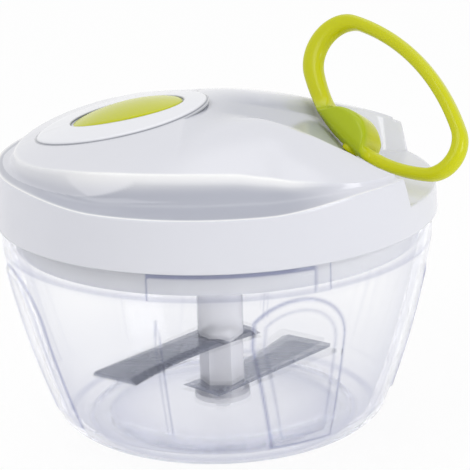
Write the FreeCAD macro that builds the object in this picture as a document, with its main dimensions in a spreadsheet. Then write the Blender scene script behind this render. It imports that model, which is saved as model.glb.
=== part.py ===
import FreeCAD, Part
import math
import os
import re
import Sketcher

# Pull-string food chopper, in millimetres. +Z is up, the origin is the middle of the base, the
# pull ring and its notch are at +X and the green oval of the lid is at -X.

os.makedirs("parts", exist_ok=True)
doc = FreeCAD.newDocument("food_chopper")
Vector = FreeCAD.Vector

# Driving dimensions. Heights are measured from the table.
driving_sizes = [
    # Bowl
    ("foot_flare", 10),
    ("base_lift", 1.2),
    ("foot_curve", 12.8),
    ("wall_taper", 15.2),
    ("lower_wall_height", 6),
    ("wall_curve", 289),
    ("bowl_radius", 68.2),
    ("band_height", 8.2),
    ("band_top", 69.7),
    ("bowl_wall", 2.2),
    ("wall_rise", 0.8),
    ("floor_thickness", 3.8),
    ("floor_inset", 8),
    ("floor_curve", 11),
    ("neck_step", 1.6),
    ("neck_margin", 0.3),
    ("boss_radius", 6.7),
    ("boss_height", 1.2),
    ("bowl_lug_reach", 0.65),
    ("lug_gap", 0.2),
    ("bowl_lug_height", 1.8),
    ("lug_angle", 16),
    ("lug_count", 4),
    ("bowl_lug_azimuth", 0),
    ("relief_height", 0.8),
    ("relief_root", 1),
    ("relief_count", 4),
    ("flute_azimuth", -62),
    ("flute_bottom", 10),
    ("flute_foot_left", -7.7),
    ("flute_foot_right", 16.2),
    ("flute_left", -17),
    ("flute_left_drop", 15.5),
    ("flute_right", 12.8),
    ("flute_right_drop", 7.5),
    ("flute_crown", 17),
    ("rib_azimuth", -101.4),
    ("rib_half_width", 0.7),
    ("rib_bottom", 13),
    ("rib_taper", 7),
    ("rib_drop", 6.5),
    ("pad_azimuth", -102.9),
    ("pad_angle", 41.8),
    ("pad_drop", 1.4),
    ("stop_azimuth", -61.1),
    ("stop_angle", 4.2),
    ("pad_height", 0.9),
    # Foot ring
    ("foot_width", 5),
    ("foot_margin", 1),
    ("foot_height", 3.2),
    ("foot_clearance", 0.1),
    # Pin and blade column
    ("pin_radius", 2.5),
    ("pin_sink", 1.4),
    ("pin_height", 18.8),
    ("pin_taper", 1),
    ("running_clearance", 0.05),
    ("column_clearance", 0.1),
    ("flange_radius", 9),
    ("flange_height", 1.8),
    ("hex_across_flats", 12.4),
    ("hex_over_pin", 3),
    ("column_core_radius", 4.6),
    ("column_radius", 7.4),
    ("column_gap", 1),
    ("socket_depth", 8),
    ("socket_across_flats", 8),
    # Blades
    ("blade_thickness", 1.2),
    ("blade_stub", 10),
    ("blade_half_width", 8.3),
    ("blade_tip_low", 5.4),
    ("blade_tip_set_back", 2.4),
    ("blade_edge_curve", 150),
    ("blade_bevel", 3),
    ("upper_blade_clearance", 2.4),
    ("upper_blade_drop", 1.6),
    ("upper_blade_azimuth", -130),
    ("upper_blade_tip", 11),
    ("lower_blade_clearance", 5.8),
    ("lower_blade_rise", 2.3),
    ("lower_blade_azimuth", 50),
    ("lower_blade_tip", 14.5),
    # Lid cover
    ("lid_gap", 1.2),
    ("lid_seat", 0.3),
    ("skirt_taper", 1),
    ("skirt_height", 15.5),
    ("lid_wall", 2.2),
    ("dome_rise", 19.2),
    ("dome_radius", 136),
    ("shoulder_inset", 4.5),
    ("shoulder_side_inset", 12.5),
    ("shoulder_rise", 1.5),
    ("scoop_inset", 5.8),
    ("scoop_side_inset", 17.2),
    ("scoop_rise", 4.5),
    ("panel_inset", 6.6),
    ("panel_side_inset", 19),
    ("panel_rise", 9.5),
    ("crown_inset", 7.8),
    ("crown_side_inset", 20),
    ("crown_rise", 21.5),
    ("lid_lug_clearance", 0.15),
    ("lid_lug_lift", 0.3),
    ("lid_lug_height", 1.9),
    ("lid_lug_azimuth", 22),
    # Trough for the pull ring: each station has its reach along X, the height of its floor, the
    # half width of the floor, and the half width and height of its crest
    ("start_reach", -4),
    ("start_floor_rise", 19.7),
    ("start_floor_half", 6),
    ("start_crest_half", 14),
    ("start_crest_rise", 20.5),
    ("dip_reach", 14),
    ("dip_floor_rise", 15.7),
    ("dip_floor_half", 8),
    ("dip_crest_half", 17),
    ("dip_crest_rise", 17.5),
    ("slope_reach", 30),
    ("slope_floor_rise", 11.0),
    ("slope_floor_half", 11.5),
    ("slope_crest_half", 23),
    ("slope_crest_rise", 14.2),
    ("mouth_floor_rise", 1.9),
    ("mouth_floor_half", 17),
    ("mouth_crest_half", 28),
    ("mouth_crest_rise", 9.5),
    ("notch_reach", 54),
    ("notch_floor_rise", -6.2),
    ("notch_floor_half", 31),
    ("notch_crest_half", 35),
    ("notch_crest_rise", 3.3),
    ("edge_reach", 76),
    ("edge_floor_rise", -6.5),
    ("edge_floor_half", 35),
    ("edge_crest_half", 37.5),
    ("edge_crest_rise", 3.3),
    # Bezel and green inlay
    ("bezel_margin", 7.4),
    ("bezel_radius", 27),
    ("bezel_height", 0.7),
    ("bezel_depth", 1.2),
    ("bezel_clearance", 0.1),
    ("inlay_length", 35.5),
    ("inlay_width", 27.4),
    ("inlay_height", 1.9),
    ("inlay_curve", 62),
    ("inlay_shift", 1.8),
    ("inlay_clearance", 0.25),
    # Plug plate and seal
    ("plug_depth", 8),
    ("plate_thickness", 2.5),
    ("plug_clearance", 0.3),
    ("plug_wall", 2.2),
    ("seal_lift", 0.2),
    ("seal_height", 3.2),
    ("seal_depth", 1.4),
    ("seal_clearance", 0.05),
    ("seal_inset", 0.2),
    ("seal_gap", 0.04),
    ("rim_lift", 0.3),
    ("rim_height", 1.6),
    ("rim_clearance", 0.75),
    # Screws and their posts
    ("post_circle", 45),
    ("post_radius", 4),
    ("post_azimuth", 45),
    ("post_count", 4),
    ("screw_radius", 1.25),
    ("screw_hole_radius", 1.6),
    ("screw_head_radius", 2.8),
    ("screw_head_height", 1.7),
    ("screw_length", 10),
    ("head_pocket_radius", 3),
    ("head_pocket_depth", 1.9),
    ("post_root", 0.5),
    ("ear_reach", 5),
    ("ear_radius", 3.4),
    ("ear_post_radius", 3),
    ("ear_azimuth", 60),
    ("ear_count", 3),
    ("ear_screw_radius", 1),
    ("ear_hole_radius", 1.25),
    ("ear_head_radius", 2.4),
    ("ear_head_height", 1.8),
    ("ear_screw_length", 7),
    # Drive hub, bush and one-way clutch
    ("journal_radius", 8),
    ("journal_lift", 0.6),
    ("bush_radius", 10),
    ("bush_flange_radius", 11.5),
    ("bush_flange_height", 0.9),
    ("stub_across_flats", 7.8),
    ("stub_clearance", 0.6),
    ("hub_lift", 0.1),
    ("hub_radius", 15),
    ("hub_thickness", 1.6),
    ("shaft_radius", 3),
    ("shaft_reach", 1.3),
    ("pawl_circle_inset", 4),
    ("pawl_pin_radius", 1),
    ("pawl_pin_sink", 1.2),
    ("pawl_thickness", 2.4),
    ("pawl_lift", 0.1),
    ("pawl_tail", 1.7),
    ("pawl_side", 1.5),
    ("pawl_tip", 3.7),
    ("pawl_tip_low", 4),
    ("pawl_tip_high", 4.8),
    ("pawl_nose", 2.6),
    ("pawl_count", 3),
    ("tooth_count", 12),
    ("tooth_clearance", 0.2),
    ("tooth_depth", 1.8),
    ("ratchet_wall", 3.2),
    # Reel and return spring
    ("reel_lift", 0.3),
    ("reel_skirt_lift", 0.2),
    ("reel_skirt_wall", 1.8),
    ("reel_lip", 2),
    ("reel_flange", 1.4),
    ("reel_core_radius", 16.05),
    ("reel_hub_radius", 5.5),
    ("reel_hub_gap", 1.2),
    ("cup_radius", 22),
    ("cup_wall", 1.6),
    ("cup_lift", 0.4),
    ("cup_depth", 7.8),
    ("spring_lift", 0.6),
    ("spring_width", 6),
    ("spring_thickness", 0.5),
    ("spring_inner_radius", 6.1),
    ("spring_margin", 0.8),
    ("spring_turn_count", 5),
    # Cord
    ("cord_radius", 0.9),
    ("cord_lay", 0.05),
    ("cord_pitch", 2.25),
    ("cord_room", 2.55),
    ("cord_seat_gap", 0.05),
    ("cord_turn_count", 3),
    ("lead_start", 9),
    # Pull line, eyelet and pull ring
    ("eyelet_reach", 42.3),
    ("eyelet_rise", 1.9),
    ("pull_azimuth", 10.2),
    ("pull_elevation_angle", 53.4),
    ("ring_turn_angle", 34),
    ("eyelet_bore", 1.3),
    ("eyelet_radius", 2.8),
    ("eyelet_depth", 5),
    ("eyelet_flange_radius", 4),
    ("eyelet_flange", 1.2),
    ("eyelet_sink", 0.2),
    ("eyelet_clearance", 0.1),
    ("ring_stand_off", 0.8),
    ("ring_shift", 0.3),
    ("ring_near_radius", 67.7),
    ("ring_far_radius", 85),
    ("ring_upper_side", 26.5),
    ("ring_upper_radius", 14),
    ("ring_lower_side", 26.7),
    ("ring_lower_radius", 11),
    ("ring_depth", 5),
    ("limb_width", 4.4),
    ("hole_shift", -2.2),
    ("hole_near_bend", 11),
    ("hole_far_bend", 5),
    ("hole_upper_margin", 4.4),
    ("hole_upper_inset", 3.1),
    ("hole_lower_margin", 3.3),
    ("hole_lower_inset", 1.7),
    ("lobe_depth", 10.3),
    ("lobe_lift", 1.8),
    ("lobe_height", 6.4),
    ("lobe_shift", 3),
    ("lobe_upper_reach", 13.8),
    ("lobe_lower_reach", 10.5),
    ("ring_boss_radius", 3.9),
    ("ring_boss_start", 0.1),
    ("knot_radius", 2.2),
    ("knot_pocket_radius", 2.4),
    ("knot_seat", 4),
    ("cord_hole_clearance", 0.1),
    ("cap_thickness", 1.4),
    ("cap_sink", 1.6),
]
sheet = doc.addObject("Spreadsheet::Sheet", "sizes")
for row, (name, size) in enumerate(driving_sizes, start=1):
    sheet.set("A%d" % row, name)
    sheet.set("B%d" % row, str(size))
    sheet.setAlias("B%d" % row, name)
doc.recompute()
size_names = {name for name, size in driving_sizes}

# Sizes that follow from the driving ones
following_sizes = {
    # Bowl, from its rim band inwards and down
    "lower_wall_radius": "bowl_radius - wall_taper",
    "base_radius": "lower_wall_radius - foot_flare",
    "floor_radius": "lower_wall_radius - floor_inset",
    "foot_outer_radius": "base_radius - foot_margin",
    "foot_inner_radius": "foot_outer_radius - foot_width",
    "floor_height": "base_lift + floor_thickness",
    "band_bottom": "band_top - band_height",
    "neck_radius": "bowl_radius - neck_step",
    "bowl_lug_radius": "neck_radius + bowl_lug_reach",
    "lid_lug_bottom": "lid_bottom + lid_lug_lift",
    "bowl_lug_bottom": "lid_lug_bottom + lid_lug_height + lug_gap",
    "neck_top": "bowl_lug_bottom + bowl_lug_height + neck_margin",
    "flute_left_height": "band_bottom - flute_left_drop",
    "flute_right_height": "band_bottom - flute_right_drop",
    "rib_tip": "band_bottom - rib_drop",
    "rib_shoulder": "rib_tip - rib_taper",
    "pad_top": "band_top - pad_drop",
    # Pin, blade column and blades
    "boss_top": "floor_height + boss_height",
    "pin_bottom": "base_lift + pin_sink",
    "pin_top": "boss_top + pin_height",
    "hex_top": "pin_top + hex_over_pin",
    "column_top": "plate_bottom - column_gap",
    "upper_blade_height": "hex_top - upper_blade_drop",
    "lower_blade_height": "boss_top + column_clearance + flange_height + lower_blade_rise",
    "upper_blade_reach": "lower_wall_radius - upper_blade_clearance",
    "lower_blade_reach": "lower_wall_radius - lower_blade_clearance",
    # Lid cover
    "lid_bottom": "band_top + lid_seat",
    "lid_radius": "neck_radius + lid_gap + lid_wall",
    "lid_lug_radius": "neck_radius + lid_lug_clearance",
    "skirt_top_radius": "lid_radius - skirt_taper",
    "skirt_top": "lid_bottom + skirt_height",
    "dome_top": "skirt_top + dome_rise",
    "mouth_reach": "eyelet_reach",
    "eyelet_height": "skirt_top + eyelet_rise",
    "bezel_reach": "bezel_radius + bezel_margin - panel_length",
    "inlay_reach": "bezel_reach + inlay_shift",
    # Plug plate and seal
    "plate_bottom": "lid_bottom - plug_depth",
    "plug_radius": "neck_radius - bowl_wall - plug_clearance",
    "rim_bottom": "neck_top + rim_lift",
    "rim_radius": "lid_radius - lid_wall - rim_clearance",
    "seal_bottom": "lid_bottom + seal_lift",
    "seal_edge": "plug_radius - seal_inset",
    "seal_half_height": "seal_height / 2 - seal_clearance",
    "seal_bulge": "seal_inset + plug_clearance - seal_gap",
    "seal_curve": "seal_half_height * seal_half_height / seal_bulge / 2 + seal_bulge / 2",
    # Drive, reel and return spring
    "journal_bottom": "column_top + journal_lift",
    "stub_bottom": "column_top - socket_depth + stub_clearance",
    "hub_bottom": "plate_bottom + plate_thickness + bush_flange_height + hub_lift",
    "pawl_circle": "hub_radius - pawl_circle_inset",
    "tooth_tip_radius": "hub_radius + tooth_clearance",
    "tooth_root_radius": "tooth_tip_radius + tooth_depth",
    "ratchet_radius": "tooth_root_radius + ratchet_wall",
    "reel_skirt_radius": "ratchet_radius + reel_skirt_wall",
    "reel_radius": "reel_skirt_radius + reel_lip",
    "reel_skirt_bottom": "hub_bottom + hub_thickness + reel_skirt_lift",
    "reel_bottom": "hub_bottom + hub_thickness + pawl_lift + pawl_thickness + reel_lift",
    "groove_bottom": "reel_bottom + reel_flange",
    "cord_climb": "cord_turn_count * cord_pitch",
    "reel_top": "groove_bottom + cord_climb + cord_room + reel_flange",
    "cord_exit_height": "groove_bottom + cord_seat_gap + cord_radius + cord_climb",
    "lead_length": "(eyelet_height - cord_exit_height) / sin(pull_elevation_angle)",
    "cup_bottom": "reel_top + cup_lift",
    "cup_plate_bottom": "cup_bottom + cup_depth",
    "reel_hub_top": "cup_plate_bottom - reel_hub_gap",
    "shaft_top": "cup_plate_bottom + shaft_reach",
    "ear_circle": "cup_radius + ear_reach",
    "spring_bottom": "cup_bottom + spring_lift",
    "spring_pitch": "(cup_radius - cup_wall - spring_inner_radius - spring_margin)"
                    " / spring_turn_count",
    # Pull ring
    "hole_stand_off": "ring_stand_off + limb_width",
    "hole_near_radius": "ring_near_radius - hole_near_bend",
    "hole_far_radius": "ring_far_radius - hole_far_bend",
    "lobe_base": "ring_stand_off + limb_width / 2 + lobe_lift",
    "lobe_top": "hole_stand_off + lobe_height",
    "lobe_rise": "lobe_top - lobe_base",
}
for end in ("upper", "lower"):
    following_sizes["hole_%s_radius" % end] = "ring_%s_radius - hole_%s_margin" % (end, end)
    following_sizes["hole_%s_side" % end] = "ring_%s_side - hole_%s_inset" % (end, end)
    following_sizes["lobe_%s_curve" % end] = (
        "lobe_rise / 2 + lobe_%s_reach * lobe_%s_reach / lobe_rise / 2" % (end, end))
    for outline in ("ring", "hole"):
        sign = "-" if end == "upper" else "+"
        within = "(%s_near_radius - %s_%s_radius)" % (outline, outline, end)
        aside = "(%s_%s_side %s %s_shift)" % (outline, end, sign, outline)
        following_sizes["%s_%s_reach" % (outline, end)] = (
            "%s_stand_off + %s_near_radius - sqrt(%s * %s - %s * %s)" % (
                outline, outline, within, within, aside, aside))
for level in ("shoulder", "scoop", "panel", "crown"):
    following_sizes[level + "_length"] = "lid_radius - %s_inset" % level
    following_sizes[level + "_width"] = "lid_radius - %s_side_inset" % level
    following_sizes[level + "_height"] = "skirt_top + %s_rise" % level
trough_stations = ("start", "dip", "slope", "mouth", "notch", "edge")
for station in trough_stations:
    following_sizes[station + "_floor"] = "skirt_top + %s_floor_rise" % station
    following_sizes[station + "_crest"] = "skirt_top + %s_crest_rise" % station


def in_full(expression):
    def followed(word):
        if word[0] in following_sizes:
            return "(%s)" % in_full(following_sizes[word[0]])
        return word[0]

    return re.sub(r"[a-z_][a-z0-9_]*", followed, expression)


def size_of(expression):
    return float(sheet.evalExpression(in_full(expression)))


def linked(expression):
    def in_sheet(word):
        return "sizes." + word[0] if word[0] in size_names else word[0]

    return re.sub(r"[a-z_][a-z0-9_]*", in_sheet, in_full(expression))


def bind(thing, **expressions):
    for name, expression in expressions.items():
        thing.setExpression(name.replace("__", "."), linked(expression))


# Sketches. A corner is (across, up), and a third value is the radius of an arc to the next
# corner: positive where the arc turns left, negative where it turns right. A circle is
# ("circle", across, up, radius). An egg is ("egg", name): two round ends, and a near and a far
# side that run into them as flat arcs, near being the side towards -X.


def bulged(start, end, radius):
    chord = end - start
    half = chord.Length / 2
    rise = radius - math.sqrt(radius * radius - half * half)
    side = Vector(chord.y, -chord.x, 0).normalize()
    return Part.Arc(start, (start + end) / 2 + side * rise, end)


def pin_point(sketch, edge, vertex, across, up):
    place = ((across, "DistanceX"), (up, "DistanceY"))
    for expression, kind in place:
        number = sketch.addConstraint(
            Sketcher.Constraint(kind, -1, 1, edge, vertex, size_of(expression))
        )
        sketch.setExpression("Constraints[%d]" % number, linked(expression))


def set_radius(sketch, edge, expression):
    number = sketch.addConstraint(Sketcher.Constraint("Radius", edge, size_of(expression)))
    sketch.setExpression("Constraints[%d]" % number, linked(expression))


def draw_circle(sketch, across, up, radius):
    centre = Vector(size_of(across), size_of(up), 0)
    edge = sketch.addGeometry(Part.Circle(centre, Vector(0, 0, 1), size_of(radius)))
    pin_point(sketch, edge, 3, across, up)
    set_radius(sketch, edge, radius)


def draw_corners(sketch, corners):
    places = [Vector(size_of(corner[0]), size_of(corner[1]), 0) for corner in corners]
    edges = []
    for index, corner in enumerate(corners):
        here = places[index]
        there = places[(index + 1) % len(places)]
        radius = corner[2] if len(corner) > 2 else None
        if radius is None:
            edge = sketch.addGeometry(Part.LineSegment(here, there))
            edges.append((edge, 1, 2))
        elif radius.startswith("-"):
            edge = sketch.addGeometry(bulged(there, here, size_of(radius[1:])))
            edges.append((edge, 2, 1))
        else:
            edge = sketch.addGeometry(bulged(here, there, size_of(radius)))
            edges.append((edge, 1, 2))
    for index, corner in enumerate(corners):
        edge, first, last = edges[index]
        after, after_first, after_last = edges[(index + 1) % len(edges)]
        sketch.addConstraint(Sketcher.Constraint("Coincident", edge, last, after, after_first))
        pin_point(sketch, edge, first, corner[0], corner[1])
        if len(corner) > 2:
            set_radius(sketch, edge, corner[2].lstrip("-"))


def egg_side(upper, upper_radius, lower, lower_radius, side_radius, side):
    within_upper = side_radius - upper_radius
    within_lower = side_radius - lower_radius
    span = (lower - upper).Length
    down = (lower - upper) / span
    along = (within_upper ** 2 - within_lower ** 2 + span ** 2) / (2 * span)
    away = math.sqrt(within_upper ** 2 - along ** 2)
    return upper + down * along + Vector(down.y, -down.x, 0) * side * away


def draw_egg(sketch, name):
    reach = name + "_%s_reach"
    aside = name + "_%s_side"
    radii = [name + "_%s_radius" % place for place in ("upper", "near", "lower", "far")]
    upper_radius, near_radius, lower_radius, far_radius = [size_of(radius) for radius in radii]
    upper = Vector(size_of(reach % "upper"), size_of(aside % "upper"), 0)
    lower = Vector(size_of(reach % "lower"), -size_of(aside % "lower"), 0)
    near = egg_side(upper, upper_radius, lower, lower_radius, near_radius, -1)
    far = egg_side(upper, upper_radius, lower, lower_radius, far_radius, 1)
    headings = [upper - far, upper - near, lower - near, lower - far]
    turns = [math.atan2(heading.y, heading.x) for heading in headings]
    edges = []
    for index, middle in enumerate((upper, near, lower, far)):
        circle = Part.Circle(middle, Vector(0, 0, 1), size_of(radii[index]))
        arc = Part.ArcOfCircle(circle, turns[index], turns[(index + 1) % 4])
        edges.append(sketch.addGeometry(arc))
    for index, edge in enumerate(edges):
        after = edges[(index + 1) % 4]
        sketch.addConstraint(Sketcher.Constraint("Tangent", edge, 2, after, 1))
        set_radius(sketch, edge, radii[index])
    pin_point(sketch, edges[0], 3, reach % "upper", aside % "upper")
    pin_point(sketch, edges[2], 3, reach % "lower", "0 - " + aside % "lower")


def sketch_in(body, name, role, loops, lift=None):
    sketch = body.newObject("Sketcher::SketchObject", name)
    plane = [item for item in body.Origin.OriginFeatures if item.Role == role][0]
    sketch.AttachmentSupport = (plane, [""])
    sketch.MapMode = "FlatFace"
    if lift:
        bind(sketch, AttachmentOffset__Base__z=lift)
    for loop in loops:
        if loop[0] == "circle":
            draw_circle(sketch, *loop[1:])
        elif loop[0] == "egg":
            draw_egg(sketch, loop[1])
        else:
            draw_corners(sketch, loop)
    return sketch


def new_body(name):
    body = doc.addObject("PartDesign::Body", name)
    body.Label = name
    return body


def turned(body, name, corners, cut=False, axis="V_Axis", angle=None):
    sketch = sketch_in(body, name + "_profile", "XZ_Plane", [corners])
    feature = body.newObject("PartDesign::Groove" if cut else "PartDesign::Revolution", name)
    feature.Profile = sketch
    feature.ReferenceAxis = (sketch, [axis])
    feature.Angle = 360
    if angle:
        bind(feature, Angle=angle)
    return feature


def raised(body, name, loops, lift, length, cut=False, role="XY_Plane"):
    sketch = sketch_in(body, name + "_outline", role, loops, lift)
    feature = body.newObject("PartDesign::Pocket" if cut else "PartDesign::Pad", name)
    feature.Profile = sketch
    feature.Reversed = cut
    bind(feature, Length=length)
    return feature


def repeated(body, feature, count):
    axis = [item for item in body.Origin.OriginFeatures if item.Role == "Z_Axis"][0]
    pattern = body.newObject("PartDesign::PolarPattern", feature.Name + "_pattern")
    pattern.Originals = [feature]
    pattern.Axis = (axis, [""])
    pattern.Angle = 360
    bind(pattern, Occurrences=count)
    body.Tip = pattern
    return pattern


def turn_about_z(thing, azimuth):
    thing.Placement = FreeCAD.Placement(Vector(), FreeCAD.Rotation(size_of(azimuth), 0, 0))


def hexagon(across_flats):
    corners = []
    for step in range(6):
        across = "%s / sqrt(3) * cos(%d)" % (across_flats, 60 * step)
        up = "%s / sqrt(3) * sin(%d)" % (across_flats, 60 * step)
        corners.append((across, up))
    return corners


def joined(name, things):
    fuse = doc.addObject("Part::MultiFuse", name)
    fuse.Shapes = things
    fuse.Label = name
    return fuse


def two(kind, name, base, tool):
    result = doc.addObject(kind, name)
    result.Base = base
    result.Tool = tool
    result.Label = name
    return result


def cut_from(name, base, tool):
    return two("Part::Cut", name, base, tool)


def shared(name, base, tool):
    return two("Part::Common", name, base, tool)


def ball(name, radius, height, across="0"):
    sphere = doc.addObject("Part::Sphere", name)
    bind(sphere, Radius=radius, Placement__Base__x=across, Placement__Base__z=height)
    return sphere


# Bowl


def bowl_body():
    body = new_body("bowl_shell")
    neck_inside = "neck_radius - bowl_wall"
    band_inside = "bowl_radius - bowl_wall"
    turned(body, "bowl_wall_turned", [
        ("0", "base_lift"),
        ("foot_inner_radius", "base_lift"),
        ("foot_inner_radius", "foot_height"),
        ("foot_outer_radius", "foot_height"),
        ("foot_outer_radius", "base_lift"),
        ("base_radius", "base_lift", "foot_curve"),
        ("lower_wall_radius", "lower_wall_height", "wall_curve"),
        ("bowl_radius", "band_bottom"),
        ("bowl_radius", "band_top"),
        ("neck_radius", "band_top"),
        ("neck_radius", "neck_top"),
        (neck_inside, "neck_top"),
        (neck_inside, "band_top - bowl_wall"),
        (band_inside, "band_top - bowl_wall"),
        (band_inside, "band_bottom", "-wall_curve"),
        ("lower_wall_radius - bowl_wall", "lower_wall_height + wall_rise", "-floor_curve"),
        ("floor_radius", "floor_height"),
        ("boss_radius", "floor_height"),
        ("boss_radius", "boss_top"),
        ("pin_radius", "boss_top"),
        ("pin_radius", "pin_bottom"),
        ("0", "pin_bottom"),
    ])
    return body


def bowl_lugs():
    body = new_body("bowl_lugs")
    lug = turned(body, "bowl_lug", [
        ("neck_radius - relief_root", "bowl_lug_bottom"),
        ("bowl_lug_radius", "bowl_lug_bottom"),
        ("bowl_lug_radius", "bowl_lug_bottom + bowl_lug_height"),
        ("neck_radius - relief_root", "bowl_lug_bottom + bowl_lug_height"),
    ], angle="lug_angle")
    repeated(body, lug, "lug_count")
    turn_about_z(body, "bowl_lug_azimuth")
    return body


# A thin layer that stands out from the wall, cut to the outline of a flute or a rib
def wall_relief(name, corners, azimuth):
    layer = new_body(name + "_layer")
    turned(layer, name + "_layer_turned", [
        ("lower_wall_radius - relief_root", "lower_wall_height"),
        ("lower_wall_radius + relief_height", "lower_wall_height", "wall_curve"),
        ("bowl_radius + relief_height", "band_bottom"),
        ("bowl_radius - relief_root", "band_bottom", "-wall_curve"),
    ])
    outline = new_body(name + "_outline")
    prism = raised(outline, name + "_prism", [corners], "floor_radius", "bowl_radius",
                   role="YZ_Plane")
    repeated(outline, prism, "relief_count")
    turn_about_z(outline, azimuth)
    return shared(name, layer, outline)


def bowl_flutes():
    return wall_relief("bowl_flutes", [
        ("flute_foot_left", "flute_bottom"),
        ("flute_foot_right", "flute_bottom"),
        ("flute_right", "flute_right_height", "flute_crown"),
        ("flute_left", "flute_left_height"),
    ], "flute_azimuth")


def bowl_ribs():
    return wall_relief("bowl_ribs", [
        ("0 - rib_half_width", "rib_bottom"),
        ("rib_half_width", "rib_bottom"),
        ("rib_half_width", "rib_shoulder"),
        ("0", "rib_tip"),
        ("0 - rib_half_width", "rib_shoulder"),
    ], "rib_azimuth")


def band_block(name, top, azimuth, angle):
    body = new_body(name)
    turned(body, name + "_turned", [
        ("bowl_radius - relief_root", "band_bottom"),
        ("bowl_radius + pad_height", "band_bottom"),
        ("bowl_radius + pad_height", top),
        ("bowl_radius - relief_root", top),
    ], angle=angle)
    turn_about_z(body, azimuth)
    return body


def bowl():
    return joined("bowl", [
        bowl_body(),
        bowl_lugs(),
        bowl_flutes(),
        bowl_ribs(),
        band_block("closing_pad", "pad_top", "pad_azimuth", "pad_angle"),
        band_block("closing_stop", "band_top", "stop_azimuth", "stop_angle"),
    ])


def foot_ring():
    body = new_body("foot_ring")
    turned(body, "foot_ring_turned", [
        ("foot_inner_radius + foot_clearance", "0"),
        ("foot_outer_radius - foot_clearance", "0"),
        ("foot_outer_radius - foot_clearance", "foot_height"),
        ("foot_inner_radius + foot_clearance", "foot_height"),
    ])
    return body


def bowl_pin():
    body = new_body("bowl_pin")
    turned(body, "bowl_pin_turned", [
        ("0", "pin_bottom"),
        ("pin_radius", "pin_bottom"),
        ("pin_radius", "pin_top - pin_taper"),
        ("pin_radius - pin_taper", "pin_top"),
        ("0", "pin_top"),
    ])
    return body


# Blades and their column. A blade points along its own +X, is ground sharp along its leading
# +Y edge and has a round hole that the column's core passes through.


def blade(name, reach, height, azimuth, tip_high):
    body = new_body(name)
    tip = "%s - blade_tip_set_back" % reach
    leading = "0 - blade_stub"
    lower = sketch_in(body, name + "_edge", "XY_Plane", [[
        (leading, "0 - blade_half_width"),
        (reach, "0 - blade_tip_low"),
        (tip, tip_high, "-blade_edge_curve"),
        (leading, "blade_half_width"),
    ]], height)
    upper = sketch_in(body, name + "_face", "XY_Plane", [[
        (leading, "0 - blade_half_width"),
        (reach, "0 - blade_tip_low"),
        (tip, tip_high + " - blade_bevel", "-blade_edge_curve"),
        (leading, "blade_half_width - blade_bevel"),
    ]], height + " + blade_thickness")
    loft = body.newObject("PartDesign::AdditiveLoft", name + "_ground")
    loft.Profile = lower
    loft.Sections = [upper]
    loft.Ruled = True
    raised(body, name + "_hole", [("circle", "0", "0", "column_core_radius")], height,
           "blade_thickness", cut=True)
    turn_about_z(body, azimuth)
    return body


def blade_column(blades):
    body = new_body("column_blank")
    bottom = "boss_top + column_clearance"
    flange_top = bottom + " + flange_height"
    turned(body, "column_turned", [
        ("0", bottom),
        ("flange_radius", bottom),
        ("flange_radius", flange_top),
        ("column_core_radius", flange_top),
        ("column_core_radius", "hex_top"),
        ("column_radius", "hex_top"),
        ("column_radius", "column_top"),
        ("0", "column_top"),
    ])
    raised(body, "column_hex", [hexagon("hex_across_flats")], flange_top,
           "hex_top - (%s)" % flange_top)
    raised(body, "column_socket", [hexagon("socket_across_flats")],
           "column_top - socket_depth", "socket_depth", cut=True)
    turned(body, "column_bore", [
        ("0", bottom),
        ("pin_radius + running_clearance", bottom),
        ("pin_radius + running_clearance", "pin_top + pin_taper"),
        ("0", "pin_top + pin_taper"),
    ], cut=True)
    return cut_from("blade_column", body, joined("blades_in_column", blades))


# Lid cover


def oval(name, length, width, height):
    ring = doc.addObject("Part::Ellipse", name)
    bind(ring, MajorRadius=length, MinorRadius=width, Placement__Base__z=height)
    return ring


def lid_block(name, inset, bottom):
    rings = [
        ("lid_radius", "lid_radius", bottom),
        ("skirt_top_radius", "skirt_top_radius", "skirt_top - " + inset),
        ("shoulder_length", "shoulder_width", "shoulder_height - " + inset),
        ("scoop_length", "scoop_width", "scoop_height - " + inset),
        ("panel_length", "panel_width", "panel_height - " + inset),
        ("crown_length", "crown_width", "crown_height"),
    ]
    sections = []
    for number, (length, width, height) in enumerate(rings):
        ring_name = "%s_oval_%d" % (name, number)
        sections.append(oval(ring_name, length + " - " + inset, width + " - " + inset, height))
    loft = doc.addObject("Part::Loft", name + "_loft")
    loft.Sections = sections
    loft.Solid = True
    loft.Ruled = True
    dome = ball(name + "_dome", "dome_radius - " + inset, "dome_top - dome_radius")
    return shared(name, loft, dome)


# The trough that starts on the dome and opens into the notch at +X, grown by a margin where it
# shapes the underside
def trough(name, margin):
    body = new_body(name)
    sketches = []
    for station in trough_stations:
        crest_half = "%s_crest_half + %s" % (station, margin)
        crest = "%s_crest - %s / 2" % (station, margin)
        floor_half = "%s_floor_half + %s / 2" % (station, margin)
        floor = "%s_floor - %s" % (station, margin)
        sketches.append(sketch_in(body, name + "_" + station, "YZ_Plane", [[
            ("0 - (%s)" % crest_half, "crown_height"),
            ("0 - (%s)" % crest_half, crest),
            ("0 - (%s)" % floor_half, floor),
            (floor_half, floor),
            (crest_half, crest),
            (crest_half, "crown_height"),
        ]], station + "_reach"))
    loft = body.newObject("PartDesign::AdditiveLoft", name + "_loft")
    loft.Profile = sketches[0]
    loft.Sections = sketches[1:]
    loft.Ruled = True
    return body


def posts(name, circle, radius, azimuth, count, bottom):
    body = new_body(name + "_raw")
    post = raised(body, name + "_post", [("circle", circle, "0", radius)], bottom,
                  "crown_height - (%s)" % bottom)
    repeated(body, post, count)
    turn_about_z(body, azimuth)
    limit = ball(name + "_limit", "dome_radius - lid_wall + post_root", "dome_top - dome_radius")
    return shared(name, body, limit)


def post_holes(name, circle, radius, azimuth, count, bottom, depth):
    body = new_body(name)
    hole = raised(body, name + "_hole", [("circle", circle, "0", radius)], bottom, depth)
    repeated(body, hole, count)
    turn_about_z(body, azimuth)
    return body


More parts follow.
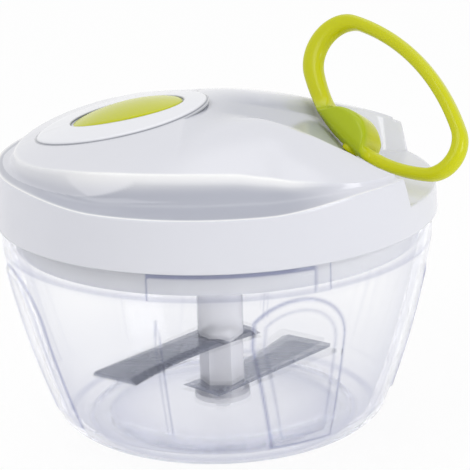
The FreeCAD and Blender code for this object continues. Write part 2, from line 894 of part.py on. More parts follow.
def lid_lugs():
    body = new_body("lid_lugs")
    lug = turned(body, "lid_lug", [
        ("lid_lug_radius", "lid_lug_bottom"),
        ("lid_radius - lid_wall / 2", "lid_lug_bottom"),
        ("lid_radius - lid_wall / 2", "lid_lug_bottom + lid_lug_height"),
        ("lid_lug_radius", "lid_lug_bottom + lid_lug_height"),
    ], angle="lug_angle")
    repeated(body, lug, "lug_count")
    turn_about_z(body, "lid_lug_azimuth")
    return body


def pull_place():
    place = Vector(size_of("eyelet_reach"), 0, size_of("eyelet_height"))
    turn = FreeCAD.Rotation(size_of("pull_azimuth"), -size_of("pull_elevation_angle"),
                            size_of("ring_turn_angle"))
    return FreeCAD.Placement(place, turn)


def on_pull_line(body):
    body.Placement = pull_place()
    return body


def eyelet_seat():
    body = new_body("eyelet_seat")
    turned(body, "eyelet_seat_turned", [
        ("0 - eyelet_depth - eyelet_flange_radius", "0"),
        ("eyelet_flange_radius", "0"),
        ("eyelet_flange_radius", "eyelet_flange_radius + eyelet_clearance"),
        ("0 - eyelet_sink - eyelet_flange", "eyelet_flange_radius + eyelet_clearance"),
        ("0 - eyelet_sink - eyelet_flange", "eyelet_radius + eyelet_clearance"),
        ("0 - eyelet_depth - eyelet_flange_radius", "eyelet_radius + eyelet_clearance"),
    ], axis="H_Axis")
    return on_pull_line(body)


def bezel_blank(name, radius, top):
    body = new_body(name + "_disc")
    raised(body, name + "_pad", [("circle", "bezel_reach", "0", radius)], "skirt_top",
           "crown_height - skirt_top")
    floor = ball(name + "_floor", "dome_radius - bezel_depth", "dome_top - dome_radius")
    if top is None:
        return cut_from(name, body, floor)
    cap = ball(name + "_cap", top, "dome_top - dome_radius")
    return shared(name, cut_from(name + "_shaped", body, floor), cap)


def oval_disc(name, margin):
    ring = oval(name + "_oval", "inlay_length / 2 + " + margin, "inlay_width / 2 + " + margin,
                "skirt_top")
    bind(ring, Placement__Base__x="inlay_reach")
    prism = doc.addObject("Part::Extrusion", name)
    prism.Base = ring
    prism.Dir = Vector(0, 0, 1)
    prism.Solid = True
    bind(prism, LengthFwd="crown_height - skirt_top")
    return prism


def lid_cover():
    outside = lid_block("lid_outside", "0", "lid_bottom")
    inside = lid_block("lid_inside", "lid_wall", "lid_bottom - lid_wall")
    hollow = cut_from("lid_hollow", inside, trough("trough_underside", "lid_wall"))
    carved = cut_from("lid_carved", outside, trough("lid_trough", "0"))
    shell = cut_from("lid_shell", carved, hollow)
    pocket = bezel_blank("bezel_pocket", "bezel_radius + bezel_clearance", None)
    plate_top = "plate_bottom + plate_thickness"
    cup_top = "cup_plate_bottom + cup_wall"
    solid = joined("lid_solid", [
        cut_from("lid_with_pocket", shell, pocket),
        posts("lid_posts", "post_circle", "post_radius", "post_azimuth", "post_count",
              plate_top),
        posts("cup_posts", "ear_circle", "ear_post_radius", "ear_azimuth", "ear_count",
              cup_top),
        lid_lugs(),
    ])
    holes = joined("lid_holes", [
        eyelet_seat(),
        post_holes("lid_screw_holes", "post_circle", "screw_radius", "post_azimuth",
                   "post_count", plate_top, "screw_length"),
        post_holes("cup_screw_holes", "ear_circle", "ear_screw_radius", "ear_azimuth",
                   "ear_count", cup_top, "ear_screw_length"),
    ])
    return cut_from("lid_cover", solid, holes)


def bezel():
    disc = bezel_blank("bezel_blank", "bezel_radius", "dome_radius + bezel_height")
    return cut_from("bezel", disc, oval_disc("bezel_opening", "inlay_clearance"))


def green_inlay():
    share = "(dome_radius + inlay_height - inlay_curve) / dome_radius"
    across = "inlay_reach * " + share
    drop = "sqrt(dome_radius * dome_radius - inlay_reach * inlay_reach)"
    height = "dome_top - dome_radius + %s * %s" % (drop, share)
    cap = ball("inlay_cap", "inlay_curve", height, across)
    floor = ball("inlay_floor", "dome_radius - bezel_depth", "dome_top - dome_radius")
    crowned = shared("inlay_crowned", oval_disc("inlay_disc", "0"), cap)
    return cut_from("green_inlay", crowned, floor)


def inner_plate():
    body = new_body("inner_plate")
    top = "plate_bottom + plate_thickness"
    groove = "plug_radius - seal_depth"
    inside = "plug_radius - plug_wall"
    turned(body, "inner_plate_turned", [
        ("bush_radius", "plate_bottom"),
        ("plug_radius", "plate_bottom"),
        ("plug_radius", "seal_bottom"),
        (groove, "seal_bottom"),
        (groove, "seal_bottom + seal_height"),
        ("plug_radius", "seal_bottom + seal_height"),
        ("plug_radius", "rim_bottom"),
        ("rim_radius", "rim_bottom"),
        ("rim_radius", "rim_bottom + rim_height"),
        (inside, "rim_bottom + rim_height"),
        (inside, top),
        ("bush_radius", top),
    ])
    place = ("circle", "post_circle * cos(post_azimuth)", "post_circle * sin(post_azimuth)")
    hole = raised(body, "plate_hole", [place + ("screw_hole_radius",)], "plate_bottom",
                  "plate_thickness", cut=True)
    repeated(body, hole, "post_count")
    pocket = raised(body, "plate_head_pocket", [place + ("head_pocket_radius",)],
                    "plate_bottom", "head_pocket_depth", cut=True)
    repeated(body, pocket, "post_count")
    return body


def lid_seal():
    body = new_body("lid_seal")
    back = "plug_radius - seal_depth + seal_clearance"
    bottom = "seal_bottom + seal_clearance"
    top = "seal_bottom + seal_height - seal_clearance"
    turned(body, "lid_seal_turned", [
        (back, bottom),
        ("seal_edge", bottom, "seal_curve"),
        ("seal_edge", top),
        (back, top),
    ])
    return body


def screws(name, circle, azimuth, count, head_radius, head_bottom, head_height, radius, length):
    body = new_body(name)
    head = raised(body, name + "_head", [("circle", circle, "0", head_radius)], head_bottom,
                  head_height)
    repeated(body, head, count)
    shank = raised(body, name + "_shank", [("circle", circle, "0", radius)],
                   "%s + %s" % (head_bottom, head_height), length)
    repeated(body, shank, count)
    turn_about_z(body, azimuth)
    return body


def lid_screws():
    return screws("lid_screws", "post_circle", "post_azimuth", "post_count",
                  "screw_head_radius", "plate_bottom + head_pocket_depth - screw_head_height",
                  "screw_head_height", "screw_radius", "screw_length")


def cup_screws():
    return screws("cup_screws", "ear_circle", "ear_azimuth", "ear_count", "ear_head_radius",
                  "cup_plate_bottom - ear_head_height", "ear_head_height",
                  "ear_screw_radius", "ear_screw_length")


# Drive hub in its bush, with the pawls of the one-way clutch


def drive_bush():
    body = new_body("drive_bush")
    bore = "journal_radius + running_clearance"
    top = "plate_bottom + plate_thickness"
    turned(body, "drive_bush_turned", [
        (bore, "plate_bottom"),
        ("bush_radius", "plate_bottom"),
        ("bush_radius", top),
        ("bush_flange_radius", top),
        ("bush_flange_radius", top + " + bush_flange_height"),
        (bore, top + " + bush_flange_height"),
    ])
    return body


def pawl_place():
    return ("circle", "pawl_circle", "0")


def drive_hub():
    body = new_body("drive_hub")
    top = "hub_bottom + hub_thickness"
    turned(body, "drive_hub_turned", [
        ("0", "journal_bottom"),
        ("journal_radius", "journal_bottom"),
        ("journal_radius", "hub_bottom"),
        ("hub_radius", "hub_bottom"),
        ("hub_radius", top),
        ("shaft_radius", top),
        ("shaft_radius", "shaft_top"),
        ("0", "shaft_top"),
    ])
    raised(body, "drive_stub", [hexagon("stub_across_flats")], "stub_bottom",
           "journal_bottom - stub_bottom")
    hole = raised(body, "pawl_pin_hole", [pawl_place() + ("pawl_pin_radius",)],
                  top + " - pawl_pin_sink", "pawl_pin_sink", cut=True)
    repeated(body, hole, "pawl_count")
    return body


def pawl_pins():
    body = new_body("pawl_pins")
    bottom = "hub_bottom + hub_thickness - pawl_pin_sink"
    pin = raised(body, "pawl_pin", [pawl_place() + ("pawl_pin_radius",)], bottom,
                 "pawl_pin_sink + pawl_lift + pawl_thickness")
    repeated(body, pin, "pawl_count")
    return body


def pawls():
    body = new_body("pawls")
    outline = [
        ("pawl_circle - pawl_tail", "0 - pawl_side"),
        ("pawl_circle + pawl_side", "0 - pawl_side"),
        ("pawl_circle + pawl_tip", "pawl_tip_low"),
        ("pawl_circle + pawl_nose", "pawl_tip_high"),
        ("pawl_circle - pawl_tail", "pawl_side"),
    ]
    bore = pawl_place() + ("pawl_pin_radius + running_clearance",)
    pawl = raised(body, "pawl", [outline, bore], "hub_bottom + hub_thickness + pawl_lift",
                  "pawl_thickness")
    repeated(body, pawl, "pawl_count")
    return body


def ratchet_ring():
    body = new_body("ratchet_ring")
    teeth = []
    for tooth in range(int(size_of("tooth_count"))):
        angle = "(%d * 360 / tooth_count)" % tooth
        for radius in ("tooth_tip_radius", "tooth_root_radius"):
            teeth.append(("%s * cos%s" % (radius, angle), "%s * sin%s" % (radius, angle)))
    raised(body, "ratchet_teeth", [("circle", "0", "0", "ratchet_radius"), teeth],
           "reel_skirt_bottom", "reel_bottom - reel_skirt_bottom")
    return body


def reel():
    body = new_body("reel")
    bore = "shaft_radius + running_clearance"
    turned(body, "reel_turned", [
        (bore, "reel_bottom"),
        ("ratchet_radius", "reel_bottom"),
        ("ratchet_radius", "reel_skirt_bottom"),
        ("reel_skirt_radius", "reel_skirt_bottom"),
        ("reel_skirt_radius", "reel_bottom"),
        ("reel_radius", "reel_bottom"),
        ("reel_radius", "reel_bottom + reel_flange"),
        ("reel_core_radius", "reel_bottom + reel_flange"),
        ("reel_core_radius", "reel_top - reel_flange"),
        ("reel_radius", "reel_top - reel_flange"),
        ("reel_radius", "reel_top"),
        ("reel_hub_radius", "reel_top"),
        ("reel_hub_radius", "reel_hub_top"),
        (bore, "reel_hub_top"),
    ])
    return body


def spring_cup():
    body = new_body("spring_cup")
    bore = "shaft_radius + running_clearance"
    inside = "cup_radius - cup_wall"
    turned(body, "spring_cup_turned", [
        (bore, "cup_plate_bottom"),
        (inside, "cup_plate_bottom"),
        (inside, "cup_bottom"),
        ("cup_radius", "cup_bottom"),
        ("cup_radius", "cup_plate_bottom + cup_wall"),
        (bore, "cup_plate_bottom + cup_wall"),
    ])
    ear = raised(body, "cup_ear", [[
        (inside, "0 - ear_radius"),
        ("ear_circle", "0 - ear_radius", "ear_radius"),
        ("ear_circle + ear_radius", "0", "ear_radius"),
        ("ear_circle", "ear_radius"),
        (inside, "ear_radius"),
    ]], "cup_plate_bottom", "cup_wall")
    repeated(body, ear, "ear_count")
    hole = raised(body, "cup_ear_hole", [("circle", "ear_circle", "0", "ear_hole_radius")],
                  "cup_plate_bottom", "cup_wall", cut=True)
    repeated(body, hole, "ear_count")
    turn_about_z(body, "ear_azimuth")
    return body


# A flat strip wound in half turns about two centres, half a pitch apart
def return_spring():
    half_pitch = size_of("spring_pitch") / 2
    half_strip = size_of("spring_thickness") / 2
    height = size_of("spring_bottom")
    steps = int(2 * size_of("spring_turn_count"))

    def half_turn(step, side):
        middle = half_pitch * (step % 2)
        radius = size_of("spring_inner_radius") + half_pitch * step + side * half_strip
        facing = 1 if step % 2 == 0 else -1
        start = Vector(middle + facing * radius, 0, height)
        top = Vector(middle, facing * radius, height)
        end = Vector(middle - facing * radius, 0, height)
        return Part.Arc(start, top, end).toShape()

    inner = [half_turn(step, -1) for step in range(steps)]
    outer = [half_turn(step, 1) for step in range(steps)]
    first = Part.makeLine(inner[0].Vertexes[0].Point, outer[0].Vertexes[0].Point)
    last = Part.makeLine(inner[-1].Vertexes[-1].Point, outer[-1].Vertexes[-1].Point)
    wire = Part.Wire(Part.__sortEdges__(inner + outer + [first, last]))
    spring = doc.addObject("Part::Feature", "return_spring")
    spring.Shape = Part.Face(wire).extrude(Vector(0, 0, size_of("spring_width")))
    spring.Placement = FreeCAD.Placement()
    return spring


# Cord: the turns on the reel, the lead to the eyelet, and the stub and knot in the pull ring


def tangent_arc(start, corner, end):
    swing = (corner - start).getAngle(end - corner)
    half = (end - start).Length / 2
    toward = (corner - (start + end) / 2).normalize()
    middle = (start + end) / 2 + toward * (half * math.tan(swing / 4))
    return Part.Arc(start, middle, end).toShape()


def tube(path, start, heading):
    section = Part.Wire(Part.Circle(start, heading, size_of("cord_radius")).toShape())
    return path.makePipeShell([section], True, False)


def cord_exit():
    corner = pull_place().multVec(Vector(-size_of("lead_length"), 0, 0))
    radius = size_of("reel_core_radius + cord_radius + cord_lay")
    reach = math.hypot(corner.x, corner.y)
    angle = math.atan2(corner.y, corner.x) - math.acos(radius / reach)
    heading = Vector(-math.sin(angle), math.cos(angle), 0)
    return corner, radius, angle, heading


def cord_winding():
    corner, radius, last_angle, heading = cord_exit()
    pitch = size_of("cord_pitch")
    quarters = int(4 * size_of("cord_turn_count"))
    climb = pitch / (2 * math.pi * radius)

    def place(quarter):
        angle = last_angle - (quarters - quarter) * math.pi / 2
        height = corner.z - (quarters - quarter) * pitch / 4
        point = Vector(radius * math.cos(angle), radius * math.sin(angle), height)
        return point, Vector(-math.sin(angle), math.cos(angle), climb).normalize()

    edges = []
    first_point, first_heading = place(0)
    straight = 2 * size_of("cord_radius")
    start = first_point - first_heading * straight
    edges.append(Part.makeLine(start, first_point))
    middles = []
    for quarter in range(quarters):
        here, here_heading = place(quarter)
        there, there_heading = place(quarter + 1)
        across = there - here
        both = here_heading + there_heading
        square = 2 * here_heading.dot(there_heading) - 2
        linear = -2 * across.dot(both)
        flat = across.dot(across)
        reach = (-linear - math.sqrt(linear * linear - 4 * square * flat)) / (2 * square)
        first_corner = here + here_heading * reach
        second_corner = there - there_heading * reach
        joint = (first_corner + second_corner) / 2
        edges.append(tangent_arc(here, first_corner, joint))
        edges.append(tangent_arc(joint, second_corner, there))
        middles.append(joint)
    last_point, last_heading = place(quarters)
    edges.append(Part.makeLine(last_point, last_point + last_heading * straight))
    path = Part.Wire(edges)
    # The nearest neighbour of each point of the cord is the one a turn further on
    next_turn = zip(middles, middles[4:])
    gap = min((one - other).Length for one, other in next_turn) - 2 * size_of("cord_radius")
    print("cord winding: least gap to itself %.2f mm" % gap)
    winding = doc.addObject("Part::Feature", "cord_winding")
    winding.Shape = tube(path, start, first_heading)
    winding.Placement = FreeCAD.Placement()
    return winding


def cord_lead():
    corner, radius, angle, heading = cord_exit()
    leaves = Vector(radius * math.cos(angle), radius * math.sin(angle), corner.z)
    start = leaves + heading * size_of("lead_start")
    end = pull_place().multVec(Vector(-size_of("eyelet_sink"), 0, 0))
    after = (end - corner).normalize()
    before = (corner - start).normalize()
    swing = before.getAngle(after)
    shorter = min((corner - start).Length, (end - corner).Length)
    share = 0.45
    cut_back = share * shorter
    bend = cut_back / math.tan(swing / 2)
    print("cord lead: bend radius %.1f mm" % bend)
    arc_start = corner - before * cut_back
    arc_end = corner + after * cut_back
    path = Part.Wire([
        Part.makeLine(start, arc_start),
        tangent_arc(arc_start, corner, arc_end),
        Part.makeLine(arc_end, end),
    ])
    lead = doc.addObject("Part::Feature", "cord_lead")
    lead.Shape = tube(path, start, before)
    lead.Placement = FreeCAD.Placement()
    section = math.pi * size_of("cord_radius") ** 2
    print("cord lead: volume over section times length %.4f"
          % (lead.Shape.Volume / (section * path.Length)))
    return lead


def eyelet():
    body = new_body("eyelet")
    face = "0 - eyelet_sink"
    back = "0 - eyelet_sink - eyelet_flange"
    turned(body, "eyelet_turned", [
        ("0 - eyelet_depth", "eyelet_bore"),
        (face, "eyelet_bore"),
        (face, "eyelet_flange_radius"),
        (back, "eyelet_flange_radius"),
        (back, "eyelet_radius"),
        ("0 - eyelet_depth", "eyelet_radius"),
    ], axis="H_Axis")
    return on_pull_line(body)


# Pull ring. The pull line is +X here, and the upper end of the ring is at +Y.


def pull_ring():
    body = new_body("pull_ring")
    raised(body, "ring_band", [("egg", "ring"), ("egg", "hole")], "0 - ring_depth / 2",
           "ring_depth")
    raised(body, "ring_lobe", [[
        ("lobe_base", "lobe_shift - lobe_lower_reach", "lobe_lower_curve"),
        ("lobe_top", "lobe_shift", "lobe_upper_curve"),
        ("lobe_base", "lobe_shift + lobe_upper_reach"),
    ]], "0 - lobe_depth / 2", "lobe_depth")
    turned(body, "ring_boss", [
        ("ring_boss_start", "0"),
        ("lobe_base", "0"),
        ("lobe_base", "ring_boss_radius"),
        ("ring_boss_start", "ring_boss_radius"),
    ], axis="H_Axis")
    turned(body, "knot_pocket", [
        ("ring_boss_start", "0"),
        ("lobe_top + lobe_height", "0"),
        ("lobe_top + lobe_height", "knot_pocket_radius"),
        ("knot_seat", "knot_pocket_radius"),
        ("knot_seat", "cord_radius + cord_hole_clearance"),
        ("ring_boss_start", "cord_radius + cord_hole_clearance"),
    ], cut=True, axis="H_Axis")
    return on_pull_line(body)


def cord_stub():
    body = new_body("cord_stub")
    turned(body, "cord_stub_turned", [
        ("0", "0"),
        ("knot_seat", "0"),
        ("knot_seat", "cord_radius"),
        ("0", "cord_radius"),
    ], axis="H_Axis")
    return on_pull_line(body)


def cord_knot():
    body = new_body("cord_knot")
    turned(body, "cord_knot_turned", [
        ("knot_seat", "0"),
        ("knot_seat + 2 * knot_radius", "0", "knot_radius"),
        ("knot_seat + knot_radius", "knot_radius", "knot_radius"),
    ], axis="H_Axis")
    return on_pull_line(body)


def knot_cap():
    body = new_body("knot_cap")
    top = "lobe_top - cap_sink"
    turned(body, "knot_cap_turned", [
        (top + " - cap_thickness", "0"),
        (top, "0"),
        (top, "knot_pocket_radius"),
        (top + " - cap_thickness", "knot_pocket_radius"),
    ], axis="H_Axis")
    return on_pull_line(body)


upper_blade = blade("upper_blade", "upper_blade_reach", "upper_blade_height",
                    "upper_blade_azimuth", "upper_blade_tip")
lower_blade = blade("lower_blade", "lower_blade_reach", "lower_blade_height",
                    "lower_blade_azimuth", "lower_blade_tip")
pieces = [
    bowl(),
    foot_ring(),
    bowl_pin(),
    upper_blade,
    lower_blade,
    blade_column([upper_blade, lower_blade]),
    lid_seal(),
    lid_cover(),
    bezel(),
    green_inlay(),
    eyelet(),
    inner_plate(),
    lid_screws(),
    drive_bush(),
    spring_cup(),
    cup_screws(),
    return_spring(),
    cord_lead(),
    reel(),
    ratchet_ring(),
    cord_winding(),
    drive_hub(),
    pawls(),
    pawl_pins(),
    pull_ring(),
    cord_stub(),
    cord_knot(),
    knot_cap(),
]
doc.recompute()

for item in doc.Objects:
    if "Invalid" in item.State or "Error" in item.State:
        raise RuntimeError("%s did not build: %s" % (item.Label, item.State))
for piece in pieces:
    shape = piece.Shape
    if shape.isNull() or not shape.isValid() or shape.Volume <= 0:
        raise RuntimeError("%s has no valid solid" % piece.Label)
    print("%-14s solids %d volume %9.1f" % (piece.Label, len(shape.Solids), shape.Volume))
for piece in pieces:
    piece.Shape.exportStep("parts/%s.step" % piece.Label)
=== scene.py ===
import math
import bmesh
import bpy
import numpy as np
from mathutils import Matrix, Vector


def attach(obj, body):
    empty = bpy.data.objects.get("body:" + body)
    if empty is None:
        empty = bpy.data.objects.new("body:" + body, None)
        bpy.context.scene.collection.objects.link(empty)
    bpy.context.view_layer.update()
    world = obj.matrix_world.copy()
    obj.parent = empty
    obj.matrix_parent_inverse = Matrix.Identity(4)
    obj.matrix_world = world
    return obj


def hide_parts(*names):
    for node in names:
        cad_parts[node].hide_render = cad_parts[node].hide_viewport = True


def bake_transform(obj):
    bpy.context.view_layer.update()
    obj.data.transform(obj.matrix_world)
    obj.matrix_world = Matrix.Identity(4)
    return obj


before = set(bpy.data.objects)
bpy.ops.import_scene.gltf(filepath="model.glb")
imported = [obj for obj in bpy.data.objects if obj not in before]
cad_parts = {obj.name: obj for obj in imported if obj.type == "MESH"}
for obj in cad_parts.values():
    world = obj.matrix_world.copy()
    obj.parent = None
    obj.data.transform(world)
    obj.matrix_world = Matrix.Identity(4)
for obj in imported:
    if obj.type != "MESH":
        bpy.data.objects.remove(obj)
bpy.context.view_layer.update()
print("frame loaded:", len(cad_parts), "nodes")

mm = 0.001


def newObject(name, data):
    item = bpy.data.objects.new(name, data)
    bpy.context.scene.collection.objects.link(item)
    return item


# Camera, at the photograph's viewing angle

view = {
    "place": (52.2, -608.6, 247.6),
    "right": (0.9973, 0.0671, -0.0300),
    "up": (0.0089, 0.2944, 0.9556),
    "lens": 153.2,
    "sensor": 36,
    "farEnd": 10,
}


def addCamera():
    data = bpy.data.cameras.new("camera")
    data.lens = view["lens"]
    data.sensor_width = view["sensor"]
    data.clip_end = view["farEnd"]
    camera = newObject("camera", data)
    right = Vector(view["right"]).normalized()
    back = right.cross(Vector(view["up"])).normalized()
    turn = Matrix((right, back.cross(right), back)).transposed().to_4x4()
    camera.matrix_world = Matrix.Translation(Vector(view["place"]) * mm) @ turn
    bpy.context.scene.camera = camera


addCamera()

# Materials


def colour(hexCode):
    parts = []
    for start in (1, 3, 5):
        value = int(hexCode[start:start + 2], 16) / 255
        parts.append(value / 12.92 if value <= 0.04045 else ((value + 0.055) / 1.055) ** 2.4)
    return (*parts, 1)


def setInputs(node, inputs):
    # An input takes a plain value, or the output of another node, which is linked to it
    for place, value in inputs.items():
        if isinstance(value, bpy.types.NodeSocket):
            node.id_data.links.new(value, node.inputs[place])
        else:
            node.inputs[place].default_value = value


def addNode(tree, kind, inputs=None, **settings):
    node = tree.nodes.new(kind)
    for name, value in settings.items():
        setattr(node, name, value)
    setInputs(node, inputs or {})
    return node


def newMaterial(name, inputs):
    material = bpy.data.materials.new(name)
    material.use_nodes = True
    shader = material.node_tree.nodes["Principled BSDF"]
    setInputs(shader, inputs)
    return material, material.node_tree, shader


def grain(tree, size, detail=3, stretch=(1, 1, 1)):
    # Noise in the object's own coordinates, its patches this many mm wide
    place = addNode(tree, "ShaderNodeTexCoord")
    mapping = addNode(tree, "ShaderNodeMapping", {
        "Vector": place.outputs["Object"], "Scale": stretch})
    noise = addNode(tree, "ShaderNodeTexNoise", {
        "Vector": mapping.outputs["Vector"], "Scale": 1 / (size * mm), "Detail": detail})
    return noise.outputs["Fac"]


def vary(shader, pattern, shades=None, roughness=None, relief=None):
    # Lets a pattern change the colour, the roughness and the height of a surface. The relief
    # is its height in mm and its strength.
    tree = shader.id_data
    if shades:
        mix = addNode(tree, "ShaderNodeMix", {
            "Factor": pattern, "A": colour(shades[0]), "B": colour(shades[1])}, data_type="RGBA")
        setInputs(shader, {"Base Color": mix.outputs["Result"]})
    if roughness:
        spread = addNode(tree, "ShaderNodeMapRange", {
            "Value": pattern, "From Min": 0.3, "From Max": 0.7,
            "To Min": roughness[0], "To Max": roughness[1]})
        setInputs(shader, {"Roughness": spread.outputs["Result"]})
    if relief:
        bump = addNode(tree, "ShaderNodeBump", {
            "Height": pattern, "Distance": relief[0] * mm, "Strength": relief[1]})
        setInputs(shader, {"Normal": bump.outputs["Normal"]})


mouldings = {
    # Name: two shades, roughness low and high, IOR, grain in mm
    # Polished ABS, a cool white with a broad soft shine
    "glossyWhiteLid": ("#E4E5EC", "#E0E1E9", 0.1, 0.16, 1.45, 30),
    # The same white, a shade brighter
    "glossyWhiteBezel": ("#F3F4F9", "#F0F1F7", 0.1, 0.16, 1.36, 30),
    # ABS from an eroded mould, dull and even
    "satinWhitePlastic": ("#E6E7EA", "#DFE0E4", 0.35, 0.45, 1.36, 8),
    # Uncoloured acetal, a waxy white
    "naturalAcetal": ("#E4E4E0", "#DCDCD8", 0.4, 0.5, 1.36, 5),
    # Dyed ABS, a saturated yellow green with small sharp highlights
    "glossyLimePlastic": ("#CDD004", "#C3C802", 0.16, 0.24, 1.36, 25),
    "glossyLimeHandle": ("#D4D604", "#CBCF03", 0.16, 0.24, 1.36, 25),
}
mouldedRelief = (0.02, 0.25)


def moulded(name):
    first, second, smooth, rough, bending, size = mouldings[name]
    material, tree, shader = newMaterial(name, {"IOR": bending})
    vary(shader, grain(tree, size), (first, second), (smooth, rough), mouldedRelief)
    return material


def stored(tree, label, strength=1):
    # A value that the mesh stores for each of its points
    value = addNode(tree, "ShaderNodeAttribute", attribute_name=label)
    share = addNode(tree, "ShaderNodeMath", {0: value.outputs["Fac"], 1: strength},
                    operation="MULTIPLY", use_clamp=True)
    return share.outputs[0]


def shaded(material, label, shade, strength):
    # Lays a painted shade or highlight over the base colour as far as the stored value says
    tree = material.node_tree
    shader = tree.nodes["Principled BSDF"]
    plain = shader.inputs["Base Color"].links[0].from_socket
    mix = addNode(tree, "ShaderNodeMix", {
        "Factor": stored(tree, label, strength), "A": plain, "B": colour(shade)},
        data_type="RGBA")
    setInputs(shader, {"Base Color": mix.outputs["Result"]})
    return material


def clearPlastic(name, base, roughness, solid, edge=None, clear=1):
    # Thin clear wall: it hardly bends what is behind it, and its skin keeps the highlights
    material, tree, shader = newMaterial(name, {
        "Base Color": colour(base), "Transmission Weight": clear, "IOR": 1.03,
        "Coat Weight": 0.5, "Coat Roughness": 0.03, "Alpha": solid})
    if edge:
        # Painted shade: where the mesh stores an edge value, and where the wall is seen edge on,
        # the colour turns bluish grey and the wall more solid, standing in for light that the
        # edges bend and reflect
        share = stored(tree, "edge")
        shade = addNode(tree, "ShaderNodeMix", {
            "Factor": share, "A": colour(base), "B": colour(edge)}, data_type="RGBA")
        grazing = addNode(tree, "ShaderNodeLayerWeight", {"Blend": 0.2})
        across = addNode(tree, "ShaderNodeMapRange", {
            "Value": grazing.outputs["Facing"], "From Min": 0.15, "From Max": 0.8,
            "To Min": 0, "To Max": 0.75}).outputs["Result"]
        wall = addNode(tree, "ShaderNodeMix", {
            "Factor": across, "A": shade.outputs["Result"], "B": colour(edge)},
            data_type="RGBA")
        dense = addNode(tree, "ShaderNodeMath", {0: share, 1: across}, operation="MAXIMUM")
        cover = addNode(tree, "ShaderNodeMapRange", {
            "Value": dense.outputs[0], "To Min": solid, "To Max": 0.9})
        setInputs(shader, {
            "Base Color": wall.outputs["Result"], "Alpha": cover.outputs["Result"]})
    vary(shader, grain(tree, 40, 2), roughness=(roughness * 0.6, roughness))
    return material


def steel(name, first, second, smooth, rough, stretch):
    # Streaks of the grinding or turning, which spread the highlights along one way
    material, tree, shader = newMaterial(name, {"Metallic": 1})
    vary(shader, grain(tree, 4, 6, stretch), (first, second), (smooth, rough), (0.01, 0.3))
    return material


def siliconeRubber():
    # Milky and matt, with the light let in a little way
    material, tree, shader = newMaterial("translucentSilicone", {
        "Transmission Weight": 0.5, "Roughness": 0.45, "IOR": 1.41})
    vary(shader, grain(tree, 2), ("#E3E5E8", "#D9DCE0"), relief=(0.02, 0.4))
    return material


def braidedNylon():
    # Fine light and dark waves of the yarn, dull with a soft rim
    material, tree, shader = newMaterial("braidedNylon", {
        "Roughness": 0.8, "Sheen Weight": 0.3})
    place = addNode(tree, "ShaderNodeTexCoord")
    waves = addNode(tree, "ShaderNodeTexWave", {
        "Vector": place.outputs["Object"], "Scale": 400, "Distortion": 4})
    vary(shader, waves.outputs["Fac"], ("#F2F1EC", "#C9C8C2"), relief=(0.15, 0.8))
    return material


# Painted shade: a dark grey laid in the gaps round the green oval and round the bezel
bezelWhitePaintedShade = shaded(moulded("glossyWhiteBezel"), "paintedShade", "#787C88", 1)
# Painted shade: a cool grey laid over the crescents and where the trough sinks
lidWhitePaintedShadeAndHighlight = shaded(moulded("glossyWhiteLid"), "paintedShade", "#B2B5C1", 0.85)
# Painted highlight: white laid in fine lines along the crest and the top of the skirt
shaded(lidWhitePaintedShadeAndHighlight, "rim", "#FFFFFF", 1)
satinWhite = moulded("satinWhitePlastic")
acetal = moulded("naturalAcetal")
limePlastic = moulded("glossyLimePlastic")
# Painted shade: a deeper green laid on one face of the pull ring's lobe
limeHandlePaintedShade = shaded(moulded("glossyLimeHandle"), "shade", "#9CBA14", 0.6)
# Painted shade: the bowl and the column turn bluish grey and denser along edges and where seen
# edge on
clearBowl = clearPlastic("clearMouldedPlastic", "#F6F7FC", 0.015, 0.2, "#7D83AC")
milkyPlastic = clearPlastic("milkyColumnPlastic", "#F9F9FC", 0.2, 0.8, "#A0A4B2", 0.2)
softClear = clearPlastic("clearFootSilicone", "#F2F4F8", 0.2, 0.35, clear=0.8)
bladeSteel = steel("groundBladeSteel", "#A0A3AE", "#8A8E9A", 0.2, 0.32, (0.15, 1, 1))
polishedSteel = steel("polishedSteel", "#F0F1F4", "#E2E4E8", 0.08, 0.15, (1, 1, 0.2))
turnedSteel = steel("turnedSteel", "#B9BBC0", "#9EA1A8", 0.2, 0.3, (1, 1, 0.2))
springSteel = steel("bluedSpringSteel", "#6C7480", "#4D5560", 0.25, 0.35, (1, 1, 0.2))
silicone = siliconeRubber()
nylon = braidedNylon()
print("materials made")

# Mesh helpers. Points are in millimetres and are stored in metres.


def smoothMesh(name, points, faces, sharpAngle=None, values=None):
    # values holds, by label, what each point stores for the materials
    mesh = bpy.data.meshes.new(name)
    mesh.from_pydata((np.array(points, float) * mm).tolist(), [], faces)
    for label, amounts in (values or {}).items():
        mesh.attributes.new(label, "FLOAT", "POINT").data.foreach_set("value", amounts)
    mesh.validate()
    shape = bmesh.new()
    shape.from_mesh(mesh)
    bmesh.ops.remove_doubles(shape, verts=shape.verts, dist=1e-7)
    bmesh.ops.recalc_face_normals(shape, faces=shape.faces)
    shape.to_mesh(mesh)
    shape.free()
    for polygon in mesh.polygons:
        polygon.use_smooth = True
    if sharpAngle:
        mesh.set_sharp_from_angle(angle=math.radians(sharpAngle))
    return mesh


def finishPiece(name, mesh, body, node):
    # body is None for a piece that runs between two bodies and is attached to neither
    piece = newObject(name, mesh)
    if body:
        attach(piece, body)
    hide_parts(node)
    return piece


def addPiece(name, node, body, material, points, faces, values=None):
    mesh = smoothMesh(name, points, faces, values=values)
    mesh.materials.append(material)
    finishPiece(name, mesh, body, node)


def ringFaces(rows, columns, ends="open"):
    # Faces between rings of points. The two ends stay open, are capped with a face each, or
    # are joined to each other.
    faces = []
    for row in range(rows if ends == "joined" else rows - 1):
        here, there = row * columns, (row + 1) % rows * columns
        for column in range(columns):
            after = (column + 1) % columns
            faces.append((here + column, here + after, there + after, there + column))
    if ends == "capped":
        faces.append(tuple(range(columns)))
        faces.append(tuple(range((rows - 1) * columns, rows * columns)))
    return faces


